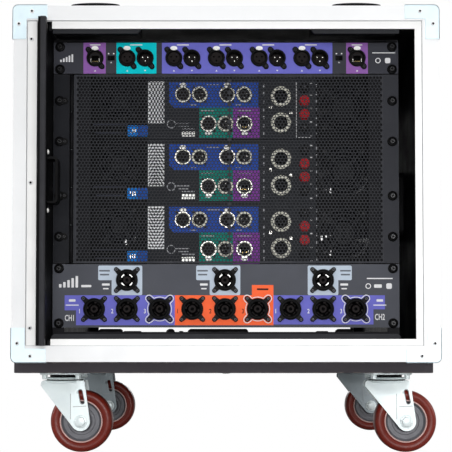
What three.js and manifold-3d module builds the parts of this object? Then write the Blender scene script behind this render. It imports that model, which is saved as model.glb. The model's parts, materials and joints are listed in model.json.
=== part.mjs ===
// A power amplifier rack: three two-unit power amplifiers in a shock-mounted 19-inch frame, inside a
// touring case on four swivel casters. The connector side faces -Y and the amplifiers' fascias face +Y.
// Millimetres, +Z up. Z = 0 is the floor, and the origin is the middle of the overall box on the floor.

import * as THREE from "three";
import { mergeVertices } from "three/addons/utils/BufferGeometryUtils.js";
import Module from "manifold-3d";

const wasm = await Module();
wasm.setup();

// ---------------------------------------------------------------- driving dimensions

const GAP = 0.3; // air between pieces that touch
const RACK_UNIT = 44.45;
const PANEL_HALF = 241.3; // half of a 19-inch panel
const SCREW_X = 232.5; // rack screw centres, either side of the middle
const SCREW_INSET = 6.35; // first rack hole from the edge of a unit

const CASE_HALF_W = 287;
const CASE_HALF_D = 320;
const CASE_BOTTOM = 131;
const CASE_TOP = 612;
const SKIN = 1.2; // outer flange of the edge frames
const PLY = 9;
const FRAME_BAND = 20; // outer band of the edge frame, seen from the front
const LIP_X = 255.2; // half width of the clear opening
const LIP_LOW = 161.5;
const LIP_HIGH = 580;
const NOTCH_LOW = 152.6; // where the lip is cut away for the pocket door
const NOTCH_HIGH = 591;
const NOTCH_X = 235.5;

const BOARD_BOTTOM = 116;
const BOARD_HALF = [281.5, 312];

const PANEL_Y = -260; // front face of the panels on the connector side
const PANEL_T = 3;
const RACK_BASE = 177.5; // underside of the lowest rack unit
const OUTPUT_UNITS = 2;
const AMP_UNITS = 2;
const AMP_COUNT = 3;
const RACK_UNITS = 9;
const AMP_BASE = RACK_BASE + OUTPUT_UNITS * RACK_UNIT;
const INPUT_BASE = AMP_BASE + AMP_COUNT * AMP_UNITS * RACK_UNIT;
const RACK_TOP = RACK_BASE + RACK_UNITS * RACK_UNIT;

const AMP_Y = -240; // connector face of each amplifier
const FASCIA_Y = 171.7; // back of each amplifier's fascia
const AMP_HALF_W = 218;

const CASTER_X = 232;
const CASTER_Y = 198;
const CASTER_TRAIL = 25;
const WHEEL_R = 44.45;
const WHEEL_HALF_T = 16;

const PAD_TOP = 616;
const ORIGIN_X = (CASTER_X + CASTER_TRAIL + WHEEL_R - CASE_HALF_W) / 2; // middle of the box

// ---------------------------------------------------------------- solids

function toSolid(geometry) {
  const bare = geometry.index ? geometry.toNonIndexed() : geometry.clone();
  bare.deleteAttribute("normal");
  bare.deleteAttribute("uv");
  const merged = mergeVertices(bare, 1e-4);
  const vertProperties = merged.attributes.position.array;
  const triVerts = new Uint32Array(merged.index.array);
  const made = new wasm.Manifold(new wasm.Mesh({ numProp: 3, vertProperties, triVerts }));
  if (made.volume() > 0) return made;
  return new wasm.Manifold(new wasm.Mesh({ numProp: 3, vertProperties, triVerts: triVerts.reverse() }));
}

function toGeometry(solid) {
  const mesh = solid.getMesh();
  const geometry = new THREE.BufferGeometry();
  geometry.setAttribute("position", new THREE.BufferAttribute(new Float32Array(mesh.vertProperties), 3));
  geometry.setIndex(new THREE.BufferAttribute(new Uint32Array(mesh.triVerts), 1));
  geometry.computeVertexNormals();
  return geometry;
}

const join = (...solids) => solids.flat().reduce((all, one) => all.add(one));
const cut = (solid, ...tools) => tools.flat().reduce((left, tool) => left.subtract(tool), solid);

function box(x0, x1, y0, y1, z0, z1) {
  const geometry = new THREE.BoxGeometry(x1 - x0, y1 - y0, z1 - z0);
  return toSolid(geometry.translate((x0 + x1) / 2, (y0 + y1) / 2, (z0 + z1) / 2));
}

// A box and its mirror image in the plane x = 0.
const boxPair = (x0, x1, ...rest) => [box(x0, x1, ...rest), box(-x1, -x0, ...rest)];

function rodY(x, z, radius, y0, y1, sides = 16) {
  return toSolid(new THREE.CylinderGeometry(radius, radius, y1 - y0, sides).translate(x, (y0 + y1) / 2, z));
}

function rodZ(x, y, radius, z0, z1, sides = 24) {
  const geometry = new THREE.CylinderGeometry(radius, radius, z1 - z0, sides);
  return toSolid(geometry.rotateX(Math.PI / 2).translate(x, y, (z0 + z1) / 2));
}

// A flat outline in x and z, with thickness from y0 to y1.
function slab(shape, y0, y1, curveSegments = 10) {
  const geometry = new THREE.ExtrudeGeometry(shape, { depth: y1 - y0, bevelEnabled: false, curveSegments });
  return toSolid(geometry.rotateX(Math.PI / 2).translate(0, y1, 0));
}

// A profile of [radius, y] points, turned about the Y axis and moved to x and z.
function turnedY(profile, x, z, sides) {
  const points = profile.map(([radius, y]) => new THREE.Vector2(radius, y));
  return toSolid(new THREE.LatheGeometry(points, sides).translate(x, 0, z));
}

// ---------------------------------------------------------------- materials

function material(color, roughness, metalness) {
  return new THREE.MeshStandardMaterial({ color, roughness, metalness });
}

const MATERIALS = {
  laminate: material(0x1c1c1f, 0.7, 0),
  aluminium: material(0xd9dde0, 0.35, 0.9),
  boardPaint: material(0x3c383c, 0.65, 0),
  blackSteel: material(0x2b2c30, 0.5, 0.4),
  zinc: material(0xc9d3d8, 0.3, 0.9),
  steelBolt: material(0xb9bfc4, 0.3, 0.9),
  tread: material(0x8a2f22, 0.4, 0),
  rubber: material(0x141414, 0.85, 0),
  panelGrey: material(0x45474c, 0.55, 0.2),
  grille: material(0x2e2f33, 0.5, 0.4),
  fascia: material(0x26272b, 0.45, 0.3),
  fan: material(0x2a2a2c, 0.6, 0),
  board: material(0x1f5a35, 0.6, 0),
  button: material(0x9fb6c8, 0.4, 0),
};

const rack = new THREE.Group();
const shifted = new THREE.Group();
shifted.position.x = -ORIGIN_X;
rack.add(shifted);

function add(name, solid, finish, parent = shifted) {
  const mesh = new THREE.Mesh(toGeometry(solid), finish);
  mesh.name = name;
  parent.add(mesh);
  return mesh;
}

// A group that carries the same piece turned half a turn, for the fascia end of the case.
const turned = new THREE.Group();
turned.rotation.z = Math.PI;
shifted.add(turned);

// ---------------------------------------------------------------- case walls

const WALL_OUT = CASE_HALF_W - SKIN - GAP;
const WALL_IN = WALL_OUT - PLY;
const WALL_Y = 313.7;
const FLOOR_LOW = CASE_BOTTOM + SKIN + GAP;
const FLOOR_TOP = FLOOR_LOW + PLY;
const ROOF_TOP = CASE_TOP - SKIN - GAP;
const ROOF_LOW = ROOF_TOP - PLY;

const DOOR_OUT = 249.5; // outer face of a stowed pocket door, from the middle of the case
const DOOR_IN = 242.5;
const DOOR_LOW = 153;
const DOOR_HIGH = 590.5;
const DOOR_FRONT = -345;
const DOOR_BACK = 165;
const GUIDE_WALL = 3.5;
const GUIDE_CLEAR = 0.5;
const GUIDE_REACH = 7;

const HANDLE_Z = 372;
const DISH_HALF = [75, 50]; // half length and half height of the recess
const DISH_BACK = 258;
const DISH_WALL = 1.5;

// The U-shaped channel that one edge of a pocket door slides in: base from z0 to z1, walls to z2.
function doorGuide(side, z0, z1, z2) {
  const y = side < 0 ? [-299, DOOR_BACK] : [-DOOR_BACK, 299];
  const [low, high] = [Math.min(z0, z2), Math.max(z0, z2)];
  const x = [DOOR_IN - GUIDE_CLEAR - GUIDE_WALL, DOOR_OUT + GUIDE_CLEAR + GUIDE_WALL];
  const outer = side < 0 ? box(-x[1], -x[0], ...y, low, high) : box(x[0], x[1], ...y, low, high);
  const slotX = [DOOR_IN - GUIDE_CLEAR, DOOR_OUT + GUIDE_CLEAR];
  const slotZ = [Math.min(z1, z2 + Math.sign(z2 - z1)), Math.max(z1, z2 + Math.sign(z2 - z1))];
  const reach = [y[0] - 1, y[1] + 1];
  const slot = side < 0 ? box(-slotX[1], -slotX[0], ...reach, ...slotZ) : box(...slotX, ...reach, ...slotZ);
  return cut(outer, slot);
}

function caseFloor() {
  const guides = [-1, 1].map((side) =>
    doorGuide(side, FLOOR_TOP - 1, DOOR_LOW - GUIDE_CLEAR, DOOR_LOW + GUIDE_REACH));
  return join(box(-WALL_OUT, WALL_OUT, -WALL_Y, WALL_Y, FLOOR_LOW, FLOOR_TOP), guides);
}

function caseRoof() {
  const guides = [-1, 1].map((side) =>
    doorGuide(side, ROOF_LOW + 1, DOOR_HIGH + GUIDE_CLEAR, DOOR_HIGH - GUIDE_REACH));
  const stops = boxPair(119, 237, PANEL_Y, PANEL_Y + 20, 587.3, ROOF_LOW + 1);
  return join(box(-WALL_OUT, WALL_OUT, -WALL_Y, WALL_Y, ROOF_LOW, ROOF_TOP), guides, stops);
}

function caseWall(side) {
  const x = side < 0 ? [-WALL_OUT, -WALL_IN] : [WALL_IN, WALL_OUT];
  const hole = DISH_HALF.map((half) => half + GAP);
  const window = box(x[0] - 1, x[1] + 1, -hole[0], hole[0], HANDLE_Z - hole[1], HANDLE_Z + hole[1]);
  return cut(box(...x, -WALL_Y, WALL_Y, FLOOR_TOP + GAP, ROOF_LOW - GAP), window);
}

// The aluminium frame round the open end: an outer skin over the panels, a front band and a set-back lip
// round the opening, notched at the pocket door's edges.
function edgeFrame() {
  const bandX = CASE_HALF_W - FRAME_BAND;
  const bandLow = CASE_BOTTOM + FRAME_BAND;
  const bandHigh = CASE_TOP - FRAME_BAND;
  const ring = cut(
    box(-CASE_HALF_W, CASE_HALF_W, -CASE_HALF_D, -290, CASE_BOTTOM, CASE_TOP),
    box(-CASE_HALF_W + SKIN, CASE_HALF_W - SKIN, -314, -289, CASE_BOTTOM + SKIN, CASE_TOP - SKIN),
    box(-bandX, bandX, -CASE_HALF_D - 1, -289, bandLow, bandHigh),
  );
  const lip = cut(
    box(-bandX - 1, bandX + 1, -316, -300, bandLow - 1, bandHigh + 1),
    box(-LIP_X, LIP_X, -317, -299, LIP_LOW, LIP_HIGH),
    box(-LIP_X, -NOTCH_X, -317, -299, NOTCH_LOW, NOTCH_HIGH),
  );
  return join(ring, lip);
}

add("case_floor", caseFloor(), MATERIALS.laminate);
add("case_roof", caseRoof(), MATERIALS.laminate);
add("case_left_wall", caseWall(-1), MATERIALS.laminate);
add("case_right_wall", caseWall(1), MATERIALS.laminate);
add("front_edge_frame", edgeFrame(), MATERIALS.aluminium);
add("rear_edge_frame", edgeFrame(), MATERIALS.aluminium, turned);

// ---------------------------------------------------------------- caster board and stacking runners

function roundedPlate(halfX, halfY, radius, z0, z1) {
  const shape = new THREE.Shape();
  shape.moveTo(-halfX + radius, -halfY);
  shape.absarc(halfX - radius, -halfY + radius, radius, -Math.PI / 2, 0);
  shape.absarc(halfX - radius, halfY - radius, radius, 0, Math.PI / 2);
  shape.absarc(-halfX + radius, halfY - radius, radius, Math.PI / 2, Math.PI);
  shape.absarc(-halfX + radius, -halfY + radius, radius, Math.PI, Math.PI * 1.5);
  const options = { depth: z1 - z0, bevelEnabled: false, curveSegments: 4 };
  return toSolid(new THREE.ExtrudeGeometry(shape, options).translate(0, 0, z0));
}

add("caster_board", roundedPlate(...BOARD_HALF, 8, BOARD_BOTTOM, CASE_BOTTOM - GAP), MATERIALS.boardPaint);

const RUNNER_X = [143.6, 209.4];
for (const [name, side] of [["left_stacking_runner", -1], ["right_stacking_runner", 1]]) {
  const [halfX, middle] = [(RUNNER_X[1] - RUNNER_X[0]) / 2, (side * (RUNNER_X[0] + RUNNER_X[1])) / 2];
  const runner = roundedPlate(halfX, 289, 12, ROOF_TOP + GAP, PAD_TOP).translate([middle, 0, 0]);
  add(name, runner, MATERIALS.rubber);
}

// ---------------------------------------------------------------- side handles

const BAIL_PIVOT = [277, HANDLE_Z + 34]; // x from the middle, and z
const BAIL_DROP = 58;
const BAIL_HALF = 62;
const BAIL_ROD = 4;

// Both handle pieces are made for the right wall, and turned half a turn for the left wall.
function handleDish() {
  const [halfY, halfZ] = DISH_HALF;
  const low = HANDLE_Z - halfZ;
  const high = HANDLE_Z + halfZ;
  const body = box(DISH_BACK, CASE_HALF_W - SKIN, -halfY, halfY, low, high);
  const flange = box(CASE_HALF_W - SKIN, CASE_HALF_W, -halfY - 12, halfY + 12, low - 12, high + 12);
  const hollow = box(DISH_BACK + DISH_WALL, CASE_HALF_W + 1,
    -halfY + DISH_WALL, halfY - DISH_WALL, low + DISH_WALL, high - DISH_WALL);
  return cut(join(body, flange), hollow);
}

function handleBail() {
  const [x, z] = BAIL_PIVOT;
  const arms = [-BAIL_HALF, BAIL_HALF].map((y) => rodZ(x, y, BAIL_ROD, z - BAIL_DROP, z + BAIL_ROD, 12));
  const pins = rodY(x, z, BAIL_ROD - 1, -DISH_HALF[0] + DISH_WALL + GAP, DISH_HALF[0] - DISH_WALL - GAP, 12);
  const gripCut = box(x - 9, x + 9, -BAIL_HALF + 2, BAIL_HALF - 2, z - 9, z + 9);
  const grip = rodY(x, z - BAIL_DROP, BAIL_ROD + 2, -BAIL_HALF - 3, BAIL_HALF + 3, 16);
  return join(cut(pins, gripCut), arms, grip);
}

add("right_handle_dish", handleDish(), MATERIALS.zinc);
add("right_handle_bail", handleBail(), MATERIALS.zinc);
add("left_handle_dish", handleDish(), MATERIALS.zinc, turned);
add("left_handle_bail", handleBail(), MATERIALS.zinc, turned);

// ---------------------------------------------------------------- pocket doors

const PULL_Z = 374;
const PULL_HALF = 31.5;
const PULL_OUT = 224.5; // outer face of the grip, from the middle of the case

function pocketDoor() {
  return box(-DOOR_OUT, -DOOR_IN, DOOR_FRONT, DOOR_BACK, DOOR_LOW, DOOR_HIGH);
}

// A base plate with a D-shaped grip, on the face of the door that looks into the case.
function doorPull() {
  const base = box(-DOOR_IN + GAP, -DOOR_IN + 2.3, -333, -305, PULL_Z - 46, PULL_Z + 46);
  const loop = cut(
    box(-DOOR_IN + 2, -PULL_OUT, -331, -307, PULL_Z - PULL_HALF, PULL_Z + PULL_HALF),
    box(-DOOR_IN + 1, -PULL_OUT - 3.5, -332, -306, PULL_Z - PULL_HALF + 3.5, PULL_Z + PULL_HALF - 3.5),
  );
  const rivets = [-39.4, 39.4].map((z) => box(-DOOR_IN + 2, -DOOR_IN + 4.5, -324, -316, PULL_Z + z - 3, PULL_Z + z + 3));
  return join(base, loop, rivets);
}

add("front_pocket_door", pocketDoor(), MATERIALS.laminate);
add("front_door_pull", doorPull(), MATERIALS.blackSteel);
add("rear_pocket_door", pocketDoor(), MATERIALS.laminate, turned);
add("rear_door_pull", doorPull(), MATERIALS.blackSteel, turned);

// ---------------------------------------------------------------- shock-mounted rack frame

const FRAME_LOW = 160;
const FRAME_HIGH = 582;
const FRAME_OUT = 241.5;
const FRAME_T = 2;
const RAIL_IN = 225;
const FRAME_FRONT = PANEL_Y + PANEL_T + GAP;
const FRAME_BACK = FASCIA_Y - GAP;
const SHOCK_MOUNTS = [[-205, -215], [205, -215], [-205, 130], [205, 130]];

function rackFrame() {
  const depth = [FRAME_FRONT, FRAME_BACK];
  const frontFlange = [FRAME_FRONT, FRAME_FRONT + FRAME_T];
  const rearFlange = [FRAME_BACK - FRAME_T, FRAME_BACK];
  const height = [FRAME_LOW, FRAME_HIGH];
  const grilleZone = [AMP_BASE + 2, INPUT_BASE - 2];
  return join(
    boxPair(FRAME_OUT - FRAME_T, FRAME_OUT, ...depth, ...height),
    boxPair(RAIL_IN, FRAME_OUT, ...frontFlange, ...height),
    boxPair(RAIL_IN, FRAME_OUT, ...rearFlange, ...height),
    box(-FRAME_OUT, -190, ...frontFlange, ...grilleZone),
    box(200, FRAME_OUT, ...frontFlange, ...grilleZone),
    box(-FRAME_OUT, FRAME_OUT, ...depth, FRAME_LOW, FRAME_LOW + FRAME_T),
    box(-FRAME_OUT, FRAME_OUT, ...frontFlange, FRAME_LOW, 171.8),
    box(-FRAME_OUT, FRAME_OUT, ...rearFlange, FRAME_LOW, 171.8),
    box(-FRAME_OUT, FRAME_OUT, FRAME_FRONT, FRAME_FRONT + 20, FRAME_HIGH - FRAME_T, FRAME_HIGH),
    box(-FRAME_OUT, FRAME_OUT, FRAME_BACK - 20, FRAME_BACK, FRAME_HIGH - FRAME_T, FRAME_HIGH),
  );
}

add("rack_frame", rackFrame(), MATERIALS.blackSteel);
SHOCK_MOUNTS.forEach(([x, y], index) => {
  const foot = rodZ(x, y, 20, FLOOR_TOP + GAP, FLOOR_TOP + 4, 12);
  const neck = rodZ(x, y, 14, FLOOR_TOP + 3, FRAME_LOW - GAP, 12);
  add(`shock_mount_${index + 1}`, join(foot, neck), MATERIALS.rubber);
});

// ---------------------------------------------------------------- connectors and rack screws

const BEHIND = 24; // how far a panel connector's body reaches behind the panel

// Pan-head rack screws at given heights, both sides.
function rackScrews(y, heights, out = -1, sides = [-1, 1]) {
  const reach = out < 0 ? [y - 4.5, y + 0.5] : [y - 0.5, y + 4.5];
  return sides.flatMap((side) => heights.map((z) => rodY(side * SCREW_X, z, 5.5, ...reach, 8)));
}

// A flat bar across a connector's face that ends in its screw ears; tilt is measured from +X towards +Z.
function earBar(x, z, reach, width, tilt) {
  const bar = new THREE.BoxGeometry(2 * reach, 3, width).rotateY(-tilt);
  return toSolid(bar.translate(x, PANEL_Y - 0.5, z));
}

// A round-shelled panel connector with two ears; one for plugs with sockets has an open cup.
function lineConnector(x, z, open) {
  const shell = rodY(x, z, 12, PANEL_Y - 2.5, PANEL_Y + BEHIND, 10);
  const ears = earBar(x, z, 18.9, 7.2, Math.atan2(-12, 9.5));
  return { shell: [shell, ears], socket: open ? [rodY(x, z, 9, PANEL_Y - 3, PANEL_Y + 12, 8)] : [] };
}

// A four-eared loudspeaker connector, open at the front.
function speakerConnector(x, z) {
  const shell = rodY(x, z, 15.2, PANEL_Y - 3, PANEL_Y + BEHIND, 12);
  const ears = [1, 3].map((quarter) => earBar(x, z, 24.1, 7, (quarter * Math.PI) / 4));
  return { shell: [shell, ...ears], socket: [rodY(x, z, 10.5, PANEL_Y - 4, PANEL_Y + 16, 8)] };
}

function panel(z0, units, connectors, screwHeights) {
  const plate = box(-PANEL_HALF, PANEL_HALF, PANEL_Y, PANEL_Y + PANEL_T, z0 + 0.4, z0 + units * RACK_UNIT - 0.4);
  const whole = join(plate, connectors.flatMap((one) => one.shell), rackScrews(PANEL_Y, screwHeights));
  return cut(whole, connectors.flatMap((one) => one.socket));
}

const NETWORK_X = [-183.4, 183.7];
const PAIR_X = [-138.5, -73, -13.4, 46.6, 106.4]; // female connector of each input pair
const PAIR_PITCH = 25.2;
const INPUT_Z = INPUT_BASE + RACK_UNIT / 2;

function inputPanel() {
  const connectors = [
    ...NETWORK_X.map((x) => lineConnector(x, INPUT_Z, true)),
    ...PAIR_X.map((x) => lineConnector(x, INPUT_Z, false)),
    ...PAIR_X.map((x) => lineConnector(x + PAIR_PITCH, INPUT_Z, true)),
  ];
  return panel(INPUT_BASE, 1, connectors, [INPUT_BASE + SCREW_INSET, RACK_TOP - SCREW_INSET]);
}

const OUTPUT_PITCH = 45.5;
const OUTPUT_MIDDLE = -1.4;
const OUTPUT_ROWS = { single: RACK_BASE + 26.1, multi: RACK_BASE + 66.4 };
const SINGLE_X = Array.from({ length: 9 }, (_, k) => OUTPUT_MIDDLE + (k - 4) * OUTPUT_PITCH);
const MULTI_X = [-3, 0, 3].map((k) => OUTPUT_MIDDLE + k * OUTPUT_PITCH);

function outputPanel() {
  const connectors = [
    ...SINGLE_X.map((x) => speakerConnector(x, OUTPUT_ROWS.single)),
    ...MULTI_X.map((x) => speakerConnector(x, OUTPUT_ROWS.multi)),
  ];
  return panel(RACK_BASE, 2, connectors, [RACK_BASE + SCREW_INSET, AMP_BASE - SCREW_INSET]);
}

add("input_panel", inputPanel(), MATERIALS.panelGrey);
add("output_panel", outputPanel(), MATERIALS.panelGrey);

// ---------------------------------------------------------------- grille door over the amplifiers

const HINGE = [-216, PANEL_Y + 0.5]; // x and y of the hinge line
const KNUCKLE_R = 2.5;
const PIN_R = 0.9;
const PIN_BORE = 1.25;
const GRILLE_T = 2;
const GRILLE_LOW = AMP_BASE + 1.2;
const GRILLE_HIGH = INPUT_BASE - 1.2;
const KNUCKLES = 5;
const KNUCKLE_PITCH = (GRILLE_HIGH - GRILLE_LOW) / KNUCKLES;
const GRILLE_SCREWS = [38.1, 95.25, 171.45, 228.6].map((drop) => INPUT_BASE - drop);

function knuckles(first) {
  const made = [];
  for (let k = first; k < KNUCKLES; k += 2) {
    const z = GRILLE_LOW + k * KNUCKLE_PITCH;
    made.push([z + 0.25, z + KNUCKLE_PITCH - 0.25]);
  }
  return made;
}

function hingeLeaf() {
  const y = [PANEL_Y, PANEL_Y + GRILLE_T];
  const plate = box(-PANEL_HALF, HINGE[0] - KNUCKLE_R - 0.7, ...y, GRILLE_LOW, GRILLE_HIGH);
  const barrels = knuckles(0).flatMap(([z0, z1]) => [
    rodZ(...HINGE, KNUCKLE_R, z0, z1, 8),
    box(HINGE[0] - KNUCKLE_R - 1, HINGE[0], ...y, z0, z1),
  ]);
  const pin = rodZ(...HINGE, PIN_R, GRILLE_LOW + 1, GRILLE_HIGH - 1, 6);
  return join(plate, barrels, pin, rackScrews(PANEL_Y, GRILLE_SCREWS, -1, [-1]));
}

function grilleDoor() {
  const y = [PANEL_Y, PANEL_Y + GRILLE_T];
  const plate = box(HINGE[0] + KNUCKLE_R + 0.7, PANEL_HALF, ...y, GRILLE_LOW, GRILLE_HIGH);
  const barrels = knuckles(1).flatMap(([z0, z1]) => [
    rodZ(...HINGE, KNUCKLE_R, z0, z1, 8),
    box(HINGE[0], HINGE[0] + KNUCKLE_R + 1, ...y, z0, z1),
  ]);
  const bore = rodZ(...HINGE, PIN_BORE, GRILLE_LOW - 1, GRILLE_HIGH + 1, 6);
  const captive = rackScrews(PANEL_Y, GRILLE_SCREWS, -1, [1]);
  return cut(join(plate, barrels, captive), bore);
}

add("grille_hinge_leaf", hingeLeaf(), MATERIALS.blackSteel);
add("grille_door", grilleDoor(), MATERIALS.grille);

// ---------------------------------------------------------------- amplifiers

const SHEET = 2;
const FANS = {
  left: { x: -151, rise: 55, hole: 29, tip: 27.5, hub: 14, turn: 1 },
  right: { x: 166.5, rise: 44.2, hole: 37.5, tip: 36, hub: 16, turn: 1 },
};
const ROTOR_Y = [AMP_Y + 3, AMP_Y + 25];
const SPINDLE_R = 2;
const ROTOR_BORE = 2.7;
const BLADES = 7;
const AMP_LINE_JACKS = [[-61, 63.5], [-37.3, 63.5], [1.7, 63.5], [25.7, 63.5], [-24.6, 21.8], [-0.7, 21.8], [26, 21.8]];
const AMP_SPEAKER_JACKS = [[77.7, 60.6], [77.7, 23.2]];
const AMP_POSTS = [73, 53.8, 34.5, 15.5];
const POST_X = 110.9;
const BUTTON = { x: 205, rise: 22, radius: 7, travel: 3 };

// Everything inside an amplifier's own outline: its base is z, and dz is measured up from it.
function ampChassis(z) {
  const high = AMP_UNITS * RACK_UNIT - 0.8;
  const shell = cut(
    box(-AMP_HALF_W, AMP_HALF_W, AMP_Y, FRAME_BACK, z, z + high),
    box(-AMP_HALF_W + SHEET, AMP_HALF_W - SHEET, AMP_Y + SHEET, FRAME_BACK + 1, z + SHEET, z + high - SHEET),
  );
  const fanHoles = Object.values(FANS).map((fan) =>
    rodY(fan.x, z + fan.rise, fan.hole, AMP_Y - 1, AMP_Y + SHEET + 1, 20));
  const spiders = Object.values(FANS).flatMap((fan) => [
    box(fan.x - 4, fan.x + 4, ROTOR_Y[1] + 2, ROTOR_Y[1] + 5, z + 1, z + high - 1),
    rodY(fan.x, z + fan.rise, SPINDLE_R, ROTOR_Y[0] + 2, ROTOR_Y[1] + 3, 6),
  ]);
  const jacks = AMP_LINE_JACKS.map(([x, dz]) => rodY(x, z + dz, 10.5, AMP_Y - 2.5, AMP_Y + 1, 8));
  const speakers = AMP_SPEAKER_JACKS.map(([x, dz]) => rodY(x, z + dz, 14, AMP_Y - 4, AMP_Y + 1, 12));
  const posts = AMP_POSTS.map((dz) => rodY(POST_X, z + dz, 6.5, AMP_Y - 10, AMP_Y + 1, 6));
  const inlet = box(-138.9, -110.5, AMP_Y - 5, AMP_Y + 1, z + 3.5, z + 19);
  return join(cut(shell, fanHoles), spiders, jacks, speakers, posts, inlet);
}

function fanRotor(fan, z) {
  const middle = z + fan.rise;
  const hub = rodY(fan.x, middle, fan.hub, ...ROTOR_Y, 14);
  const blades = Array.from({ length: BLADES }, (_, k) => {
    const blade = new THREE.BoxGeometry(fan.tip - fan.hub + 2, 1.6, 15);
    blade.rotateX(fan.turn * 0.9).translate((fan.tip + fan.hub - 2) / 2, (ROTOR_Y[0] + ROTOR_Y[1]) / 2, 0);
    return toSolid(blade.rotateY((k / BLADES) * 2 * Math.PI).translate(fan.x, 0, middle));
  });
  const bore = rodY(fan.x, middle, ROTOR_BORE, ROTOR_Y[0] + 1.5, ROTOR_Y[1] + 1, 6);
  return cut(join(hub, blades), bore);
}

// The circuit board with its heat sink, mains transformer and reservoir capacitors.
function powerModule(z) {
  const board = box(-185, 190, -185, 150, z + 8, z + 10);
  const sink = box(20, 120, -150, 110, z + 9, z + 16);
  const fins = Array.from({ length: 6 }, (_, k) => box(22 + k * 18, 26 + k * 18, -150, 110, z + 15, z + 70));
  const transformer = rodZ(-120, 40, 46, z + 9, z + 62, 16);
  const capacitors = [-70, -20, 30].map((y) => rodZ(-40, y, 16, z + 9, z + 58, 10));
  const legs = [[-180, -180], [180, -180], [-180, 140], [180, 140]].map(([x, y]) =>
    rodZ(x, y, 3, z + SHEET + GAP, z + 9, 6));
  return join(board, sink, fins, transformer, capacitors, legs);
}

function fascia(z) {
  const high = AMP_UNITS * RACK_UNIT - 0.8;
  const y = [FASCIA_Y, FASCIA_Y + PANEL_T];
  const plate = box(-PANEL_HALF, PANEL_HALF, ...y, z, z + high);
  const bezel = box(-78, 78, y[1] - 1, y[1] + 6, z + 8, z + high - 8);
  const screen = box(-40, 40, y[1] + 4, y[1] + 7, z + 22, z + high - 22);
  const dials = [-60, 60].map((x) => rodY(x, z + high / 2, 9, y[1] + 5, y[1] + 16, 12));
  const grips = [-1, 1].flatMap((side) => {
    const x = side * 212;
    const loop = box(x - 5, x + 5, y[1] - 1, y[1] + 34, z + 34, z + high - 6);
    return [cut(loop, box(x - 6, x + 6, y[1], y[1] + 26, z + 42, z + high - 14))];
  });
  const screws = rackScrews(y[1], [z + SCREW_INSET, z + high - SCREW_INSET], 1);
  const buttonHole = rodY(BUTTON.x, z + BUTTON.rise - 6, BUTTON.radius + GAP, y[0] - 1, y[1] + 1, 12);
  return cut(join(cut(join(plate, bezel), screen), dials, grips, screws), buttonHole);
}

function powerButton(z) {
  const cap = rodY(BUTTON.x, z + BUTTON.rise - 6, BUTTON.radius, FASCIA_Y - 4, FASCIA_Y + PANEL_T + 5, 12);
  const collar = rodY(BUTTON.x, z + BUTTON.rise - 6, BUTTON.radius + 2, FASCIA_Y - 4, FASCIA_Y - GAP, 12);
  return join(cap, collar);
}

for (let k = 0; k < AMP_COUNT; k += 1) {
  const z = AMP_BASE + k * AMP_UNITS * RACK_UNIT + 0.4;
  const name = `amp_${k + 1}`;
  add(`${name}_chassis`, ampChassis(z), MATERIALS.blackSteel);
  add(`${name}_power_module`, powerModule(z), MATERIALS.board);
  add(`${name}_fascia`, fascia(z), MATERIALS.fascia);
  add(`${name}_left_fan`, fanRotor(FANS.left, z), MATERIALS.fan);
  add(`${name}_right_fan`, fanRotor(FANS.right, z), MATERIALS.fan);
  add(`${name}_power_button`, powerButton(z), MATERIALS.button);
}

// ---------------------------------------------------------------- casters

const PLATE_HALF = [30, 46];
const PLATE_BOLTS = [22.2, 36.5];
const PLATE_TOP = BOARD_BOTTOM - GAP;
const CROWN = [101.4, 104.4];
const LEG_Y = [18.5, 21.5];
const FORK_EAR_R = 13.9;
const AXLE_R = 5;

// The fixed plate with its ball race, kingpin and the nuts of its four bolts.
function casterPlate() {
  const nuts = [-1, 1].flatMap((sx) => [-1, 1].map((sy) =>
    rodZ(sx * PLATE_BOLTS[0], sy * PLATE_BOLTS[1], 7, PLATE_TOP - 9, PLATE_TOP - 2, 6)));
  return join(
    roundedPlate(...PLATE_HALF, 6, PLATE_TOP - 3, PLATE_TOP),
    rodZ(0, 0, 27, 107, PLATE_TOP - 2, 20),
    rodZ(0, 0, AXLE_R, 97, 108, 10),
    rodZ(0, 0, 9, 94, 97.5, 6),
    nuts,
  );
}

// One leg's outline: a sloping leading edge down to a round ear at the axle.
function legOutline() {
  const shape = new THREE.Shape();
  shape.moveTo(-30.2, CROWN[1]);
  shape.lineTo(-30.2, 98.7);
  shape.lineTo(CASTER_TRAIL - 11.4, WHEEL_R - 8);
  shape.absarc(CASTER_TRAIL, WHEEL_R, FORK_EAR_R, Math.PI * 1.195, Math.PI * 2.03);
  shape.lineTo(30.6, CROWN[1]);
  return shape;
}

function casterFork() {
  const crown = join(
    box(-30.2, 30.6, -LEG_Y[1], LEG_Y[1], ...CROWN),
    rodZ(0, 0, 30.6, ...CROWN, 16),
    rodZ(0, 0, 24, CROWN[1] - 1, 106.7, 16),
  );
  const legs = [slab(legOutline(), -LEG_Y[1], -LEG_Y[0], 6), slab(legOutline(), LEG_Y[0], LEG_Y[1], 6)];
  const slot = new THREE.Shape();
  slot.absarc(25.3, 86, 3.1, 0, Math.PI);
  slot.absarc(28, 73, 3.1, Math.PI, Math.PI * 2);
  return cut(join(crown, legs),
    rodZ(0, 0, AXLE_R + GAP + 0.2, 90, 110, 10),
    slab(slot, -LEG_Y[1] - 1, LEG_Y[1] + 1, 3),
    rodY(CASTER_TRAIL, WHEEL_R, AXLE_R + GAP + 0.2, -LEG_Y[1] - 1, LEG_Y[1] + 1, 10));
}

// The axle bolt with its head and lock nut.
function casterAxle() {
  const out = LEG_Y[1] + GAP;
  return join(
    rodY(CASTER_TRAIL, WHEEL_R, AXLE_R, -out - 1, out + 9, 10),
    rodY(CASTER_TRAIL, WHEEL_R, 8.8, -out - 5.5, -out, 6),
    rodY(CASTER_TRAIL, WHEEL_R, 8.8, out, out + 8, 6),
  );
}

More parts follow.
